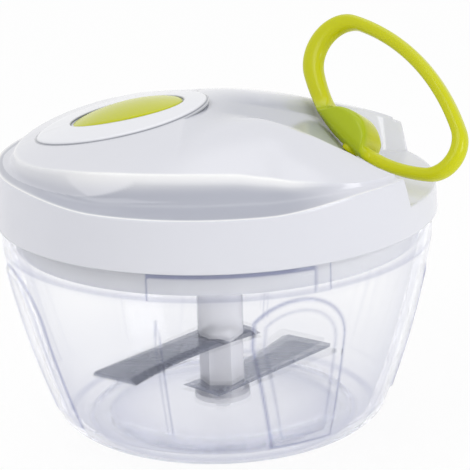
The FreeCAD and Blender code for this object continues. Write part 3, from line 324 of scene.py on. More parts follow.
def addRing(points, angles, radius, height):
    points.extend(zip(radius * np.cos(angles), radius * np.sin(angles),
                      np.broadcast_to(height, angles.shape)))


def smoothMin(first, second, reach):
    mix = np.clip(0.5 + 0.5 * (second - first) / reach, 0, 1)
    return second * (1 - mix) + first * mix - reach * mix * (1 - mix)


def smoothStep(low, high, value):
    share = np.clip((value - low) / (high - low), 0, 1)
    return share * share * (3 - 2 * share)


def curveThrough(stations, values, place):
    # Monotone cubic curve through the stations
    stations = np.asarray(stations, float)
    values = np.asarray(values, float)
    steps = np.diff(stations)
    slopes = np.diff(values) / steps
    bends = np.zeros(len(values))
    for index in range(1, len(values) - 1):
        if slopes[index - 1] * slopes[index] > 0:
            bends[index] = 2 * slopes[index - 1] * slopes[index] / (
                slopes[index - 1] + slopes[index])
    bends[0], bends[-1] = slopes[0], slopes[-1]
    place = np.clip(place, stations[0], stations[-1])
    span = np.clip(np.searchsorted(stations, place) - 1, 0, len(steps) - 1)
    width = steps[span]
    share = (place - stations[span]) / width
    first = (1 + 2 * share) * (1 - share) ** 2 * values[span]
    second = share * (1 - share) ** 2 * width * bends[span]
    third = share ** 2 * (3 - 2 * share) * values[span + 1]
    fourth = share ** 2 * (share - 1) * width * bends[span + 1]
    return first + second + third + fourth


# Lid cover: a dome with an oval crest, concave crescents beside it, a trough that opens into
# the notch, and a skirt

lid = {
    "domeTop": 104.7,
    "domeRadius": 136,
    # Crest line by direction from +X: radius, and height over the plain dome
    "crestTurn": (0, 30, 45, 60, 70, 80, 90, 100, 110, 120, 130, 140, 150, 160, 170, 180),
    "crestRadius": (66.5, 66.5, 65.2, 59.4, 56.0, 54.9, 55.2, 56.0, 57.6, 59.6, 61.0, 62.2,
                    62.8, 62.9, 62.9, 63),
    "crestLift": (0, 0, 0, 0.1, 0.9, 1.9, 2.5, 3.0, 3.8, 4.6, 4.6, 4.2, 3.5, 2.8, 2.2, 1.8),
    "crestSoft": 0.4,
    "crestPower": 4,
    # Rise beside the notch: its height, and the radii between which it comes up
    "besideRise": 2.8,
    "besideFrom": 44,
    "besideTo": 72,
    "skirtTopRadius": 69,
    "skirtTop": 85.8,
    "skirtRise": 2.5,
    "skirtBackRise": 2,
    "skirtRadius": 70,
    "skirtBottom": 70,
    "wall": 2.2,
    # Radius and height down the lip, up the inside of the skirt, and the flat of the roof
    "lip": ((69.9, 70.1), (69.5, 70), (68.3, 70), (67.85, 70.3), (67.6, 74), (67.3, 76.4)),
    "roofRadius": 67.3,
    "roofLow": 76.6,
    "scoopSteep": 0.085,
    "scoopShare": 0.8,
    # Painted shade of the crescents. Directions in degrees: where the deep part starts, where
    # its upper edge drops away, where the shallow part starts, and where that fades. The rest
    # are shares of the way from the crest to the skirt.
    "deepFrom": (46, 66),
    "deepTop": 0.03,
    "deepTurn": 109,
    "deepSlope": 0.0092,
    "shallowTurn": 131,
    "shallowBend": 10,
    "shallowShade": 0.5,
    "shallowFade": (150, 172),
    "crescentFoot": (0.86, 0.96),
    "lineHalf": 0.7,
    "troughReach": (-7, 4, 14, 24, 30, 42.3, 54, 76),
    "troughFloor": (104.0, 102.4, 100.9, 98.4, 96.4, 87.4, 79.3, 79.0),
    "troughFloorHalf": (8, 7, 7, 9, 11.5, 17, 31, 35),
    "troughCrestHalf": (25, 20, 15.5, 18, 21.5, 28, 35, 37.5),
    "troughCrest": (102.3, 103.2, 103.0, 101.0, 99.7, 95, 90, 90),
    "troughSoft": (1.5, 2, 2, 2, 2, 1.2, 0.5, 0.5),
    "troughCurve": (1.5, 1.5, 1.5, 1.6, 1.6, 1.15, 1, 1),
    "wallFrom": 42,
    # Depth of the trough over which its painted shade comes to full
    "paintedShadeDepth": 2.6,
    # Mesh columns, in degrees, that follow the foot and the top of the notch wall, and the
    # first one past them that keeps its place
    "footColumn": 29,
    "topColumn": 34,
    "freeColumn": 60,
}


def notchSide(angle):
    # 1 where the dome runs out to the skirt beside the notch, 0 over the crescents
    return smoothStep(0.3, 0.72, np.cos(angle))


def crestRadius(angle):
    return curveThrough(lid["crestTurn"], lid["crestRadius"], np.degrees(np.abs(angle)))


def domeHeight(x, y):
    # A sphere, raised beside the notch and towards the crest line
    radius = lid["domeRadius"]
    angle = np.arctan2(y, x)
    out = np.hypot(x, y)
    beside = smoothStep(lid["besideFrom"], lid["besideTo"], out) * notchSide(angle)
    lift = curveThrough(lid["crestTurn"], lid["crestLift"], np.degrees(np.abs(angle)))
    raised = lift * np.clip(out / crestRadius(angle), 0, 1.03) ** lid["crestPower"]
    sphere = lid["domeTop"] - radius + np.sqrt(radius ** 2 - out * out)
    return sphere + lid["besideRise"] * beside + raised


def skirtTop(angle):
    back = smoothStep(0.45, 0.85, -np.cos(angle))
    return (lid["skirtTop"] + lid["skirtRise"] * notchSide(angle)
            + lid["skirtBackRise"] * back)


def crescentPaintedShade(angle, out):
    # Painted shade of a crescent at a place, from 0 to 1: a deep shade that ends in a point
    # towards the bezel, and a shallow shade beyond it
    turned = np.degrees(np.abs(angle))
    drop = lid["deepSlope"] * (turned - lid["deepTurn"])
    top = lid["deepTop"] + np.maximum(0, drop)
    deep = smoothStep(*lid["deepFrom"], turned) * smoothStep(-0.02, 0.012, out - top)
    beyond = turned - lid["shallowTurn"] + lid["shallowBend"] * smoothStep(0, 0.2, out)
    shallow = smoothStep(-1.5, 1.5, beyond) * smoothStep(0, 0.03, out)
    shallow = lid["shallowShade"] * shallow * (1 - 0.6 * smoothStep(*lid["shallowFade"], turned))
    return np.maximum(deep, shallow) * (1 - smoothStep(*lid["crescentFoot"], out))


def rimPaintedHighlight(angle, radius):
    # Painted highlight: a fine white line along the rounded crest and skirt edges, where they
    # catch the light
    turned = np.degrees(np.abs(angle))
    crest = np.exp(-((radius - crestRadius(angle) + 0.2) / lid["lineHalf"]) ** 2)
    skirt = np.exp(-((radius - lid["skirtTopRadius"] + 0.4) / lid["lineHalf"]) ** 2)
    along = smoothStep(52, 66, turned) * (1 - 0.5 * smoothStep(120, 140, turned))
    return np.maximum(crest * along, 0.9 * skirt * smoothStep(25, 45, turned))


def troughHeight(x, y):
    reach = lid["troughReach"]
    floor, floorHalf, crest, crestHalf, soft, power = [
        curveThrough(reach, lid["trough" + part], x)
        for part in ("Floor", "FloorHalf", "Crest", "CrestHalf", "Soft", "Curve")]
    out = (np.abs(y) - floorHalf) / (crestHalf - floorHalf)
    rise = np.where(out < 1, np.clip(out, 0, 1) ** power, 1 + power * (out - 1))
    before = np.clip(reach[0] - x, 0, None)
    return floor + (crest - floor) * rise + before, soft


def lidSurface(x, y):
    # Height, and how much painted shade a place has: in the crescents, and where the trough sinks
    # below the dome
    angle = np.arctan2(y, x)
    radius = np.hypot(x, y)
    crestAt = crestRadius(angle)
    dome = domeHeight(x, y)
    edge = domeHeight(crestAt * np.cos(angle), crestAt * np.sin(angle))
    low = skirtTop(angle)
    out = np.clip((radius - crestAt) / (lid["skirtTopRadius"] - crestAt), None, 1)
    share = lid["scoopShare"]
    outside = np.clip(out, 0, 1)
    fall = share * np.exp(-outside / lid["scoopSteep"]) + (1 - share) * (1 - outside) ** 2
    scoop = low + (edge - low) * fall + 60 * np.clip(-out, 0, None)
    top = smoothMin(dome, scoop, lid["crestSoft"])
    trough, soft = troughHeight(x, y)
    height = smoothMin(top, trough, soft)
    # Painted shade where the trough sinks below the dome, fading out towards the notch
    depth = np.clip((top - height) / lid["paintedShadeDepth"], 0, 1) * (1 - smoothStep(30, 50, x))
    return height, np.maximum(crescentPaintedShade(angle, out), depth)


def lidAngles():
    # Columns for one half, close together on the wall of the notch
    stretches = ((0, 24, 24), (24, 29, 10), (29, 34, 14), (34, 40, 12))
    half = [np.linspace(start, end, count, endpoint=False) for start, end, count in stretches]
    half = np.concatenate(half + [np.linspace(40, 180, 133)])
    return np.radians(np.concatenate([half, -half[-2:0:-1]]))


def wallAngle(radius, halves):
    # Direction in which a circle of this radius crosses a line of the trough's wall
    angle = 0.5
    for attempt in range(12):
        reach = max(radius * math.cos(angle), lid["wallFrom"])
        half = float(curveThrough(lid["troughReach"], lid[halves], reach))
        angle = math.asin(min(half / radius, 0.95))
    return math.degrees(angle)


wallRadii = np.linspace(44, 70, 27)
wallFoot = [wallAngle(radius, "troughFloorHalf") for radius in wallRadii]
wallTop = [wallAngle(radius, "troughCrestHalf") for radius in wallRadii]


def lidColumns(angles, radius):
    # Moves the columns so that two of them follow the foot and the top of the notch wall
    share = smoothStep(46, 56, radius)
    turned = np.degrees(np.abs(angles))
    foot = np.interp(radius, wallRadii, wallFoot)
    top = np.interp(radius, wallRadii, wallTop)
    first, second, third = lid["footColumn"], lid["topColumn"], lid["freeColumn"]
    below = turned / first * foot
    on = foot + (turned - first) / (second - first) * (top - foot)
    above = top + (turned - second) / (third - second) * (third - top)
    moved = np.select([turned < first, turned < second, turned < third],
                      [below, on, above], turned)
    return np.sign(angles) * np.radians(turned + (moved - turned) * share)


def lidShell():
    angles = lidAngles()
    crest = crestRadius(angles)
    rim = lid["skirtTopRadius"]
    shares = np.concatenate([np.linspace(0.02, 0.9, 66), np.linspace(0.91, 1, 14)])
    rows = [share * crest for share in shares]
    shares = np.concatenate([np.linspace(0.01, 0.2, 20), np.linspace(0.23, 1, 24)])
    rows += [crest + share * (rim - 0.3 - crest) for share in shares]
    points = []
    paintedShades = []
    rimHighlights = []
    for radius in rows:
        turned = lidColumns(angles, radius)
        height, paintedShade = lidSurface(radius * np.cos(turned), radius * np.sin(turned))
        addRing(points, turned, radius, height)
        paintedShades.extend(paintedShade)
        rimHighlights.extend(rimPaintedHighlight(turned, radius))
    # Down the skirt, with a rounded edge at its top
    angles = lidColumns(angles, rim)
    top = lidSurface(rim * np.cos(angles), rim * np.sin(angles))[0]
    taper = (lid["skirtRadius"] - rim) / (lid["skirtTop"] - lid["skirtBottom"])
    edge = (0.15, 0.5, 1.0, 2.0)
    heights = [top - drop for drop in edge]
    for share in np.linspace(0.08, 1, 12):
        heights.append(heights[3] + share * (lid["skirtBottom"] + 0.5 - heights[3]))
    for row, height in enumerate(heights):
        rounding = 0.12 if row == 0 else 0
        addRing(points, angles, rim + taper * (lid["skirtTop"] - height) - rounding, height)
    # Over the lip and along the underside
    for radius, height in lid["lip"]:
        addRing(points, angles, radius, height)
    for share in np.linspace(0.98, 0.02, 30):
        radius = lid["roofRadius"] * share
        height = lidSurface(radius * np.cos(angles), radius * np.sin(angles))[0]
        addRing(points, angles, radius, np.maximum(height - lid["wall"] * 1.1, lid["roofLow"]))
    for values in (paintedShades, rimHighlights):
        values.extend([0] * (len(points) - len(values)))
    columns = len(angles)
    addPiece("lidCover", "lid_cover", "lid", lidWhitePaintedShadeAndHighlight, points,
             ringFaces(len(points) // columns, columns, "capped"),
             {"paintedShade": paintedShades, "rim": rimHighlights})


lidShell()
print("lid cover made")

# Bezel disc and green oval

badge = {
    "reach": -29,
    "ovalShift": 1.8,
    "groove": 0.7,
    "radius": 27,
    "proud": 0.7,
    "sunk": 1.0,
    "ovalLength": 17.75,
    "ovalWidth": 13.7,
    "gap": 0.25,
    "innerEdge": 0.5,
    "outerEdge": 0.6,
    "crownRadius": 62,
    "crown": 1.9,
    "turns": 192,
    # Share of the oval, and drop under its crown, from the middle to the rounded edge
    "ovalRings": ((0.02, 0), (0.15, 0), (0.3, 0), (0.45, 0), (0.6, 0), (0.72, 0), (0.82, 0),
                  (0.9, 0), (0.95, 0.02), (0.975, 0.1), (0.99, 0.22), (1, 0.45)),
}


def badgeRing(length, width, lift, shift, surface):
    angles = np.linspace(0, 2 * math.pi, badge["turns"], endpoint=False)
    x = badge["reach"] + shift + length * np.cos(angles)
    y = width * np.sin(angles)
    return list(zip(x, y, surface(x, y) + lift))


def bezelPiece():
    radius = badge["radius"]
    length = badge["ovalLength"] + badge["gap"]
    width = badge["ovalWidth"] + badge["gap"]
    proud = badge["proud"]
    shift = badge["ovalShift"]
    inner, outer = badge["innerEdge"], badge["outerEdge"]
    groove = radius + badge["groove"]
    # Half length, half width, height over the dome, sideways shift and painted shade of each ring
    rings = [
        (length, width, -badge["sunk"], shift, 1),
        (length, width, proud - 0.5, shift, 1),
        (length + 0.15, width + 0.15, proud - 0.15, shift, 0.5),
        (length + inner, width + inner, proud, shift, 0),
    ]
    for share in np.linspace(0.1, 0.95, 10):
        rings.append((length + inner + share * (radius - outer - length - inner),
                      width + inner + share * (radius - outer - width - inner), proud,
                      shift * (1 - share), 0))
    # Painted shade darkens the bezel's outer edge and the groove round it
    for reach, height, shade in ((radius - outer, proud - 0.06, 0),
                                 (radius - 0.25, proud - 0.25, 0.1),
                                 (radius, proud - 0.45, 0.5),
                                 (radius + 0.02, 0.12, 0.9), (radius + 0.3, 0.08, 0.8),
                                 (groove, 0.05, 0.25), (groove, -badge["sunk"], 1)):
        rings.append((reach, reach, height, 0, shade))
    points = []
    shades = []
    turns = badge["turns"]
    for length, width, height, sideways, shade in rings:
        points.extend(badgeRing(length, width, height, sideways, domeHeight))
        shades.extend([shade] * turns)
    addPiece("bezelDisc", "bezel", "lid", bezelWhitePaintedShade, points,
             ringFaces(len(rings), turns, "joined"), {"paintedShade": shades})


def crownHeight(x, y):
    share = (lid["domeRadius"] + badge["crown"] - badge["crownRadius"]) / lid["domeRadius"]
    reach = badge["reach"] + badge["ovalShift"]
    drop = math.sqrt(lid["domeRadius"] ** 2 - reach ** 2)
    centreZ = lid["domeTop"] - lid["domeRadius"] + drop * share
    return centreZ + np.sqrt(badge["crownRadius"] ** 2 - (x - reach * share) ** 2 - y * y)


def inlayPiece():
    length, width, shift = badge["ovalLength"], badge["ovalWidth"], badge["ovalShift"]
    points = []
    for share, drop in badge["ovalRings"]:
        points.extend(badgeRing(length * share, width * share, -drop, shift, crownHeight))
    points.extend(badgeRing(length, width, -badge["sunk"], shift, domeHeight))
    addPiece("greenOval", "green_inlay", "lid", limePlastic, points,
             ringFaces(len(badge["ovalRings"]) + 1, badge["turns"], "capped"))


bezelPiece()
inlayPiece()
print("bezel and green oval made")

# Pull ring, built on the pull line: its short axis is the line, its long axis lies across

pull = {
    "eyelet": (42.3, 0, 87.4),
    "azimuth": 10.2,
    "elevation": 53.4,
    "turn": 34,
    # Egg outlines: reach along the pull line of the near side, then for the upper and the lower
    # end the sideways place and the radius, then the radii and the sideways shift of the sides
    "outer": {"near": 0.85, "upper": (26.5, 13.95), "lower": (-26.7, 10.95),
              "nearRadius": 67.7, "farRadius": 85, "shift": 0.3},
    "hole": {"near": 5.2, "upper": (23.4, 9.6), "lower": (-25, 7.7),
             "nearRadius": 56.7, "farRadius": 80, "shift": -2.2},
    "middle": 20,
    "steps": 300,
    "around": 28,
    "halfDepth": 2.48,
    "lobeHalfDepth": 5.1,
    "lobeTop": 11.55,
    "lobeMiddle": 3,
    "lobeUpperRadius": 19,
    "lobeLowerRadius": 11.2,
    "lobeFrom": -8.3,
    "lobeTo": 16.5,
    "lobeRunIn": 2.6,
    "lobeRunOut": 7.5,
    "lobeSoft": 1.4,
    # How square the section is: on the plain band, and how much more on the lobe
    "square": 2.7,
    "lobeSquare": 2.2,
    "bossRadius": 2.9,
    "bossStart": 0.12,
    "bossEnd": 4,
    "bossTurns": 48,
}


def pullMatrix():
    azimuth = Matrix.Rotation(math.radians(pull["azimuth"]), 4, "Z")
    elevation = Matrix.Rotation(math.radians(-pull["elevation"]), 4, "Y")
    roll = Matrix.Rotation(math.radians(pull["turn"]), 4, "X")
    return Matrix.Translation(Vector(pull["eyelet"])) @ azimuth @ elevation @ roll


def sweepPoints(centre, radius, start, end, count):
    turn = (end - start) % (2 * math.pi)
    angles = start + turn * np.linspace(0, 1, count)
    return np.stack([centre[0] + radius * np.cos(angles), centre[1] + radius * np.sin(angles)], 1)


def heading(start, end):
    return math.atan2(end[1] - start[1], end[0] - start[0])


def eggOutline(egg):
    # Two round ends and two flat sides that run into them
    near = np.array([egg["near"] + egg["nearRadius"], egg["shift"]])
    ends = []
    for across, radius in (egg["upper"], egg["lower"]):
        within = egg["nearRadius"] - radius
        ends.append(np.array([near[0] - math.sqrt(within ** 2 - (across - near[1]) ** 2),
                              across]))
    upper, lower = ends
    span = np.hypot(*(lower - upper))
    down = (lower - upper) / span
    withinUpper = egg["farRadius"] - egg["upper"][1]
    withinLower = egg["farRadius"] - egg["lower"][1]
    along = (withinUpper ** 2 - withinLower ** 2 + span ** 2) / (2 * span)
    away = math.sqrt(withinUpper ** 2 - along ** 2)
    far = upper + down * along + np.array([down[1], -down[0]]) * away
    return np.concatenate([
        sweepPoints(upper, egg["upper"][1], heading(far, upper), heading(near, upper), 200),
        sweepPoints(near, egg["nearRadius"], heading(near, upper), heading(near, lower), 200),
        sweepPoints(lower, egg["lower"][1], heading(near, lower), heading(far, lower), 200),
        sweepPoints(far, egg["farRadius"], heading(far, lower), heading(far, upper), 200),
    ])


def radiusAt(outline, angles):
    # Distance of an outline from the middle of the hole, in the given directions
    across = outline[:, 0] - pull["middle"]
    along = outline[:, 1]
    turns = np.unwrap(np.arctan2(along, across))
    reach = np.hypot(across, along)
    order = np.argsort(turns)
    return np.interp(angles, turns[order], reach[order], period=2 * math.pi)


def lobeOutline():
    top, middle = pull["lobeTop"], pull["lobeMiddle"]
    high, low = pull["lobeUpperRadius"], pull["lobeLowerRadius"]
    upper = sweepPoints((top - high, middle), high, 0, 1.15, 120)
    lower = sweepPoints((top - low, middle), low, 2 * math.pi - 1.5, 2 * math.pi, 120)
    return np.concatenate([lower, upper])


def bentPower(value, power):
    return math.copysign(abs(value) ** power, value)


def ringPiece():
    steps, around, centre = pull["steps"], pull["around"], pull["middle"]
    toFrame = pullMatrix()
    outline = eggOutline(pull["outer"])
    # Even steps along the outline
    closed = np.concatenate([outline, outline[:1]])
    length = np.concatenate([[0], np.cumsum(np.hypot(*np.diff(closed, axis=0).T))])
    dense = np.unwrap(np.arctan2(closed[:, 1], closed[:, 0] - centre))
    angles = np.interp(np.linspace(0, length[-1], steps, endpoint=False), length, dense)
    outer = radiusAt(outline, angles)
    inner = radiusAt(eggOutline(pull["hole"]), angles)
    lobe = lobeOutline()
    turns = np.arctan2(lobe[:, 1], lobe[:, 0] - centre) % (2 * math.pi)
    order = np.argsort(turns)
    reach = np.hypot(lobe[:, 0] - centre, lobe[:, 1])[order]
    past = 99
    lobeReach = np.interp(angles % (2 * math.pi), turns[order], reach, left=past, right=past)
    inner = np.where(lobeReach == past, inner, smoothMin(inner, lobeReach, pull["lobeSoft"]))
    side = inner * np.sin(angles)
    start, end = pull["lobeFrom"], pull["lobeTo"] + 2.5
    onLobe = (np.cos(angles) < 0) * smoothStep(start, start + pull["lobeRunIn"], side)
    onLobe = onLobe * (1 - smoothStep(end - pull["lobeRunOut"], end, side))
    points = []
    shades = []
    for angle, out, within, share in zip(angles, outer, inner, onLobe):
        power = 2 / (pull["square"] + pull["lobeSquare"] * share)
        middle = (out + within) / 2
        half = (out - within) / 2
        for step in range(around):
            turn = 2 * math.pi * step / around
            across = bentPower(math.cos(turn), power)
            up = bentPower(math.sin(turn), power)
            # The outer half keeps the depth of the band, so that the lobe stands on it
            flare = share * smoothStep(1.0, 0.5, across)
            deep = pull["halfDepth"] + (pull["lobeHalfDepth"] - pull["halfDepth"]) * flare
            here = middle + half * across
            place = Vector((centre + here * math.cos(angle), here * math.sin(angle), deep * up))
            points.append(tuple(toFrame @ place))
            # Painted shade on the lobe's face towards local +Z
            shades.append(share * float(smoothStep(0.3, 0.9, up)))
    faces = ringFaces(steps, around, "joined")
    bossStart, bossEnd, bossRadius = pull["bossStart"], pull["bossEnd"], pull["bossRadius"]
    boss = [(bossStart, 0), (bossStart, 1.1), (bossStart, 2.4), (0.25, 2.7), (0.6, bossRadius),
            (bossEnd, bossRadius), (bossEnd, 0)]
    base = len(points)
    for along, radius in boss:
        for angle in np.linspace(0, 2 * math.pi, pull["bossTurns"], endpoint=False):
            place = Vector((along, radius * math.cos(angle), radius * math.sin(angle)))
            points.append(tuple(toFrame @ place))
    for face in ringFaces(len(boss), pull["bossTurns"]):
        faces.append(tuple(base + corner for corner in face))
    shades.extend([0] * (len(points) - len(shades)))
    addPiece("pullRing", "pull_ring", "handle", limeHandlePaintedShade, points, faces, {"shade": shades})


ringPiece()
print("pull ring made")

# Bowl: a turned wall with grip panels, ribs and the closing marks on its band

bowl = {
    "turns": 640,
    # Radius and height of the base's edge, the corner's end and the wall's end
    "baseEdge": (43, 1.2),
    "cornerEnd": (53, 6),
    "wallEnd": (68.2, 61.5),
    "cornerBend": 12.8,
    "wallBend": 289,
    "wall": 2.2,
    # Grip panels, ribs, and the pad and stop block of the band: places round the bowl in
    # degrees, the rest in mm. A line is a stretch of the clear wall painted dense and bluish
    # grey, for the light its edge bends.
    "fluteAzimuth": -62,
    "fluteCount": 4,
    "fluteProud": 0.8,
    "fluteLine": 0.75,
    "innerLine": 0.7,
    "innerLineIn": 3.3,
    "backFade": 0.6,
    "ribAzimuth": -101.4,
    "ribCount": 4,
    "ribProud": 0.7,
    "ribHalf": 0.75,
    "ribLine": 0.45,
    "ribBottom": 13,
    "ribTop": 55,
    "ribPoint": 7,
    "bandBottom": 61.4,
    "padTop": 68.2,
    "bandTop": 69.5,
    "bandProud": 0.85,
    "padFrom": -102.9,
    "padTo": -61.1,
    "stopTo": -56.9,
    "bandLine": 0.45,
}


def arcPoints(start, end, radius, count):
    # Points after the start, on an arc that turns left
    start = np.array(start, float)
    end = np.array(end, float)
    chord = end - start
    half = np.hypot(*chord) / 2
    middle = (start + end) / 2
    side = np.array([-chord[1], chord[0]]) / (2 * half)
    centre = middle + side * math.sqrt(radius ** 2 - half ** 2)
    first = math.atan2(start[1] - centre[1], start[0] - centre[0])
    sweep = 2 * math.asin(half / radius)
    return [(centre[0] + radius * math.cos(first + sweep * step / count),
             centre[1] + radius * math.sin(first + sweep * step / count))
            for step in range(1, count + 1)]


def besideNearest(azimuths, first, count, radius):
    # Distance in mm along the wall from the nearest of the places round the bowl
    turn = 360 / count
    beside = (azimuths - first + turn / 2) % turn - turn / 2
    return radius * np.sin(np.radians(beside))


def fluteInside(azimuths, height, radius):
    # Distance in mm inside the outline of the nearest grip panel, negative outside
    across = besideNearest(azimuths, bowl["fluteAzimuth"], bowl["fluteCount"], radius)
    left = np.interp(height, (10, 46, 60), (-7.7, -17, -17))
    right = np.interp(height, (10, 28, 54, 60), (16.2, 16.6, 12.8, 12.8))
    sides = np.minimum(across - left, right - across)
    crownX, crownZ, crownRadius = -3.9, 44.6, 15.2
    arch = crownRadius - np.hypot((across - crownX) * 0.93, np.clip(height - crownZ, 0, None))
    return np.minimum(np.minimum(sides, arch), height - 9)


def bowlOuter():
    profile = [(0, 1.2), (20, 1.2), (36.95, 1.2), (37, 1.3), (37, 3.2), (42, 3.2), (42, 1.3),
               (42.05, 1.2), bowl["baseEdge"]]
    profile += arcPoints(bowl["baseEdge"], bowl["cornerEnd"], bowl["cornerBend"], 10)
    profile += arcPoints(bowl["cornerEnd"], bowl["wallEnd"], bowl["wallBend"], 86)
    profile += [(68.2, 62), (68.2, 64), (68.2, 66), (68.2, 68), (68.2, 68.5), (68.2, 69.4),
                (68.05, 69.65), (67.8, 69.7), (66.8, 69.7), (66.6, 69.9), (66.6, 72.3),
                (66.6, 74.2), (66.4, 74.45), (66.1, 74.5)]
    return profile


def bowlInner():
    outer = arcPoints(bowl["cornerEnd"], bowl["wallEnd"], bowl["wallBend"], 14)
    profile = [(64.9, 74.5), (64.6, 74.45), (64.4, 74.2), (64.4, 70), (64.4, 68), (64.5, 67.6),
               (64.8, 67.5), (65.7, 67.5), (65.95, 67.4), (66, 67), (66, 64), (66, 61.5)]
    for radius, height in reversed(outer[:-1]):
        profile.append((radius - bowl["wall"], height + 0.3))
    corner = arcPoints((45, 5), (50.9, 6.9), 11, 6)
    profile += [(50.9, 6.9)] + corner[-2::-1]
    profile += [(45, 5), (30, 5), (7.2, 5), (6.8, 5.2), (6.7, 6.0), (6.5, 6.2), (2.6, 6.2),
                (0, 6.2)]
    return profile


def paintedBowlShade(radius, height):
    # Painted shade: the clear wall turns bluish grey towards the floor, and in fine lines at the
    # foot and at the rim's edges
    paintedTone = 0.3 * float(smoothStep(38, 8, height))
    if height < 6.5:
        paintedTone = 0.35
    if 36 < radius < 44 and height < 1.4 or 2.2 < height < 3.1 and radius > 44:
        paintedTone = 0.7
    if 61.3 < height < 62.2:
        paintedTone = 0.6
    return paintedTone


def fineLine(distance, width):
    return np.exp(-(distance / width) ** 2)


def between(azimuths, start, end):
    half = 0.3
    return (smoothStep(start - half, start + half, azimuths)
            * (1 - smoothStep(end - half, end + half, azimuths)))


def wallReliefs(azimuths, height, radius):
    # Grip panels and ribs: how far they stand out, and how dense the painted lines along their
    # edges look
    inside = fluteInside(azimuths, height, radius)
    relief = bowl["fluteProud"] * smoothStep(-0.6, 1.2, inside)
    lines = fineLine(inside, bowl["fluteLine"])
    lines = lines + 0.7 * fineLine(inside - bowl["innerLineIn"], bowl["innerLine"])
    back = smoothStep(-0.1, 0.3, np.sin(np.radians(azimuths)))
    edge = lines * (1 - bowl["backFade"] * back)
    if bowl["ribBottom"] < height < bowl["ribTop"]:
        across = np.abs(besideNearest(azimuths, bowl["ribAzimuth"], bowl["ribCount"], radius))
        half = bowl["ribHalf"] * min(1, (bowl["ribTop"] - height) / bowl["ribPoint"])
        relief = relief + bowl["ribProud"] * (1 - smoothStep(half * 0.4, half + 0.35, across))
        edge = np.maximum(edge, 0.8 * fineLine(across - half, bowl["ribLine"]))
    return relief, edge


def bandReliefs(azimuths, height):
    # The raised pad and the stop block of the band, and the painted lines at their ends and along
    # the pad's top
    pad = between(azimuths, bowl["padFrom"], bowl["padTo"])
    stop = between(azimuths, bowl["padTo"], bowl["stopTo"])
    relief = 0
    edge = 0
    if height <= bowl["padTop"]:
        relief = bowl["bandProud"] * np.maximum(pad, stop)
    elif height < bowl["bandTop"]:
        relief = bowl["bandProud"] * stop
    for end in ("padFrom", "padTo", "stopTo"):
        edge = np.maximum(edge, fineLine(azimuths - bowl[end], bowl["bandLine"]))
    if bowl["padTop"] - 0.1 < height < bowl["bandTop"]:
        edge = np.maximum(edge, pad)
    return relief, edge


def bowlPiece():
    turns = bowl["turns"]
    azimuths = np.linspace(-180, 180, turns, endpoint=False)
    angles = np.radians(azimuths)
    points = []
    paintedEdges = []
    for radius, height in bowlOuter():
        relief, edge = 0, 0
        if 6 < height < bowl["bandBottom"] and radius > 50:
            relief, edge = wallReliefs(azimuths, height, radius)
        elif bowl["bandBottom"] < height <= bowl["bandTop"]:
            relief, edge = bandReliefs(azimuths, height)
        addRing(points, angles, radius + relief, height)
        paintedTone = np.full(turns, paintedBowlShade(radius, height))
        paintedEdges.extend(np.clip(np.maximum(paintedTone, edge), 0, 1))
    for radius, height in bowlInner():
        addRing(points, angles, radius, height)
        paintedEdges.extend([0.8 * paintedBowlShade(radius, height)] * turns)
    addPiece("bowlWall", "bowl", "bowl", clearBowl, points,
             ringFaces(len(points) // turns, turns), {"edge": paintedEdges})


bowlPiece()
print("bowl made")

# Geometry Nodes: a twisted cord along a line, and a screw repeated on a circle


def newTree(name, inputs):
    # Node tree of a modifier, with the identifiers of its inputs by name
    tree = bpy.data.node_groups.new(name, "GeometryNodeTree")
    tree.is_modifier = True
    sides = tree.interface
    sides.new_socket("Geometry", in_out="OUTPUT", socket_type="NodeSocketGeometry")
    sides.new_socket("Geometry", in_out="INPUT", socket_type="NodeSocketGeometry")
    sockets = {}
    for label, kind in inputs.items():
        socket = sides.new_socket(label, in_out="INPUT", socket_type="NodeSocket" + kind)
        sockets[label] = socket.identifier
    return tree, sockets, addNode(tree, "NodeGroupInput").outputs


def finishTree(tree, geometry, material):
    real = addNode(tree, "GeometryNodeRealizeInstances", {0: geometry})
    coat = addNode(tree, "GeometryNodeSetMaterial", {
        "Geometry": real.outputs[0], "Material": material})
    addNode(tree, "NodeGroupOutput", {0: coat.outputs[0]})


def cordTree():
    tree, sockets, given = newTree("twistedCord", {
        "Spacing": "Float", "Lay": "Float", "Strands": "Int",
        "Outer Radius": "Float", "Inner Radius": "Float", "Material": "Material",
    })
    line = addNode(tree, "GeometryNodeMeshToCurve", {"Mesh": given["Geometry"]})
    even = addNode(tree, "GeometryNodeResampleCurve", {
        "Curve": line.outputs[0], "Length": given["Spacing"]}, mode="LENGTH")
    along = addNode(tree, "GeometryNodeSplineParameter")
    turns = addNode(tree, "ShaderNodeMath", {
        0: along.outputs["Length"], 1: given["Lay"]}, operation="DIVIDE")
    angle = addNode(tree, "ShaderNodeMath", {
        0: turns.outputs[0], 1: 2 * math.pi}, operation="MULTIPLY")
    tilt = addNode(tree, "GeometryNodeSetCurveTilt", {
        "Curve": even.outputs[0], "Tilt": angle.outputs[0]})
    profile = addNode(tree, "GeometryNodeCurveStar", {
        "Points": given["Strands"], "Inner Radius": given["Inner Radius"],
        "Outer Radius": given["Outer Radius"]})
    sweep = addNode(tree, "GeometryNodeCurveToMesh", {
        "Curve": tilt.outputs[0], "Profile Curve": profile.outputs["Curve"],
        "Fill Caps": True})
    smooth = addNode(tree, "GeometryNodeSetShadeSmooth", {0: sweep.outputs[0]})
    finishTree(tree, smooth.outputs[0], given["Material"])
    return tree, sockets


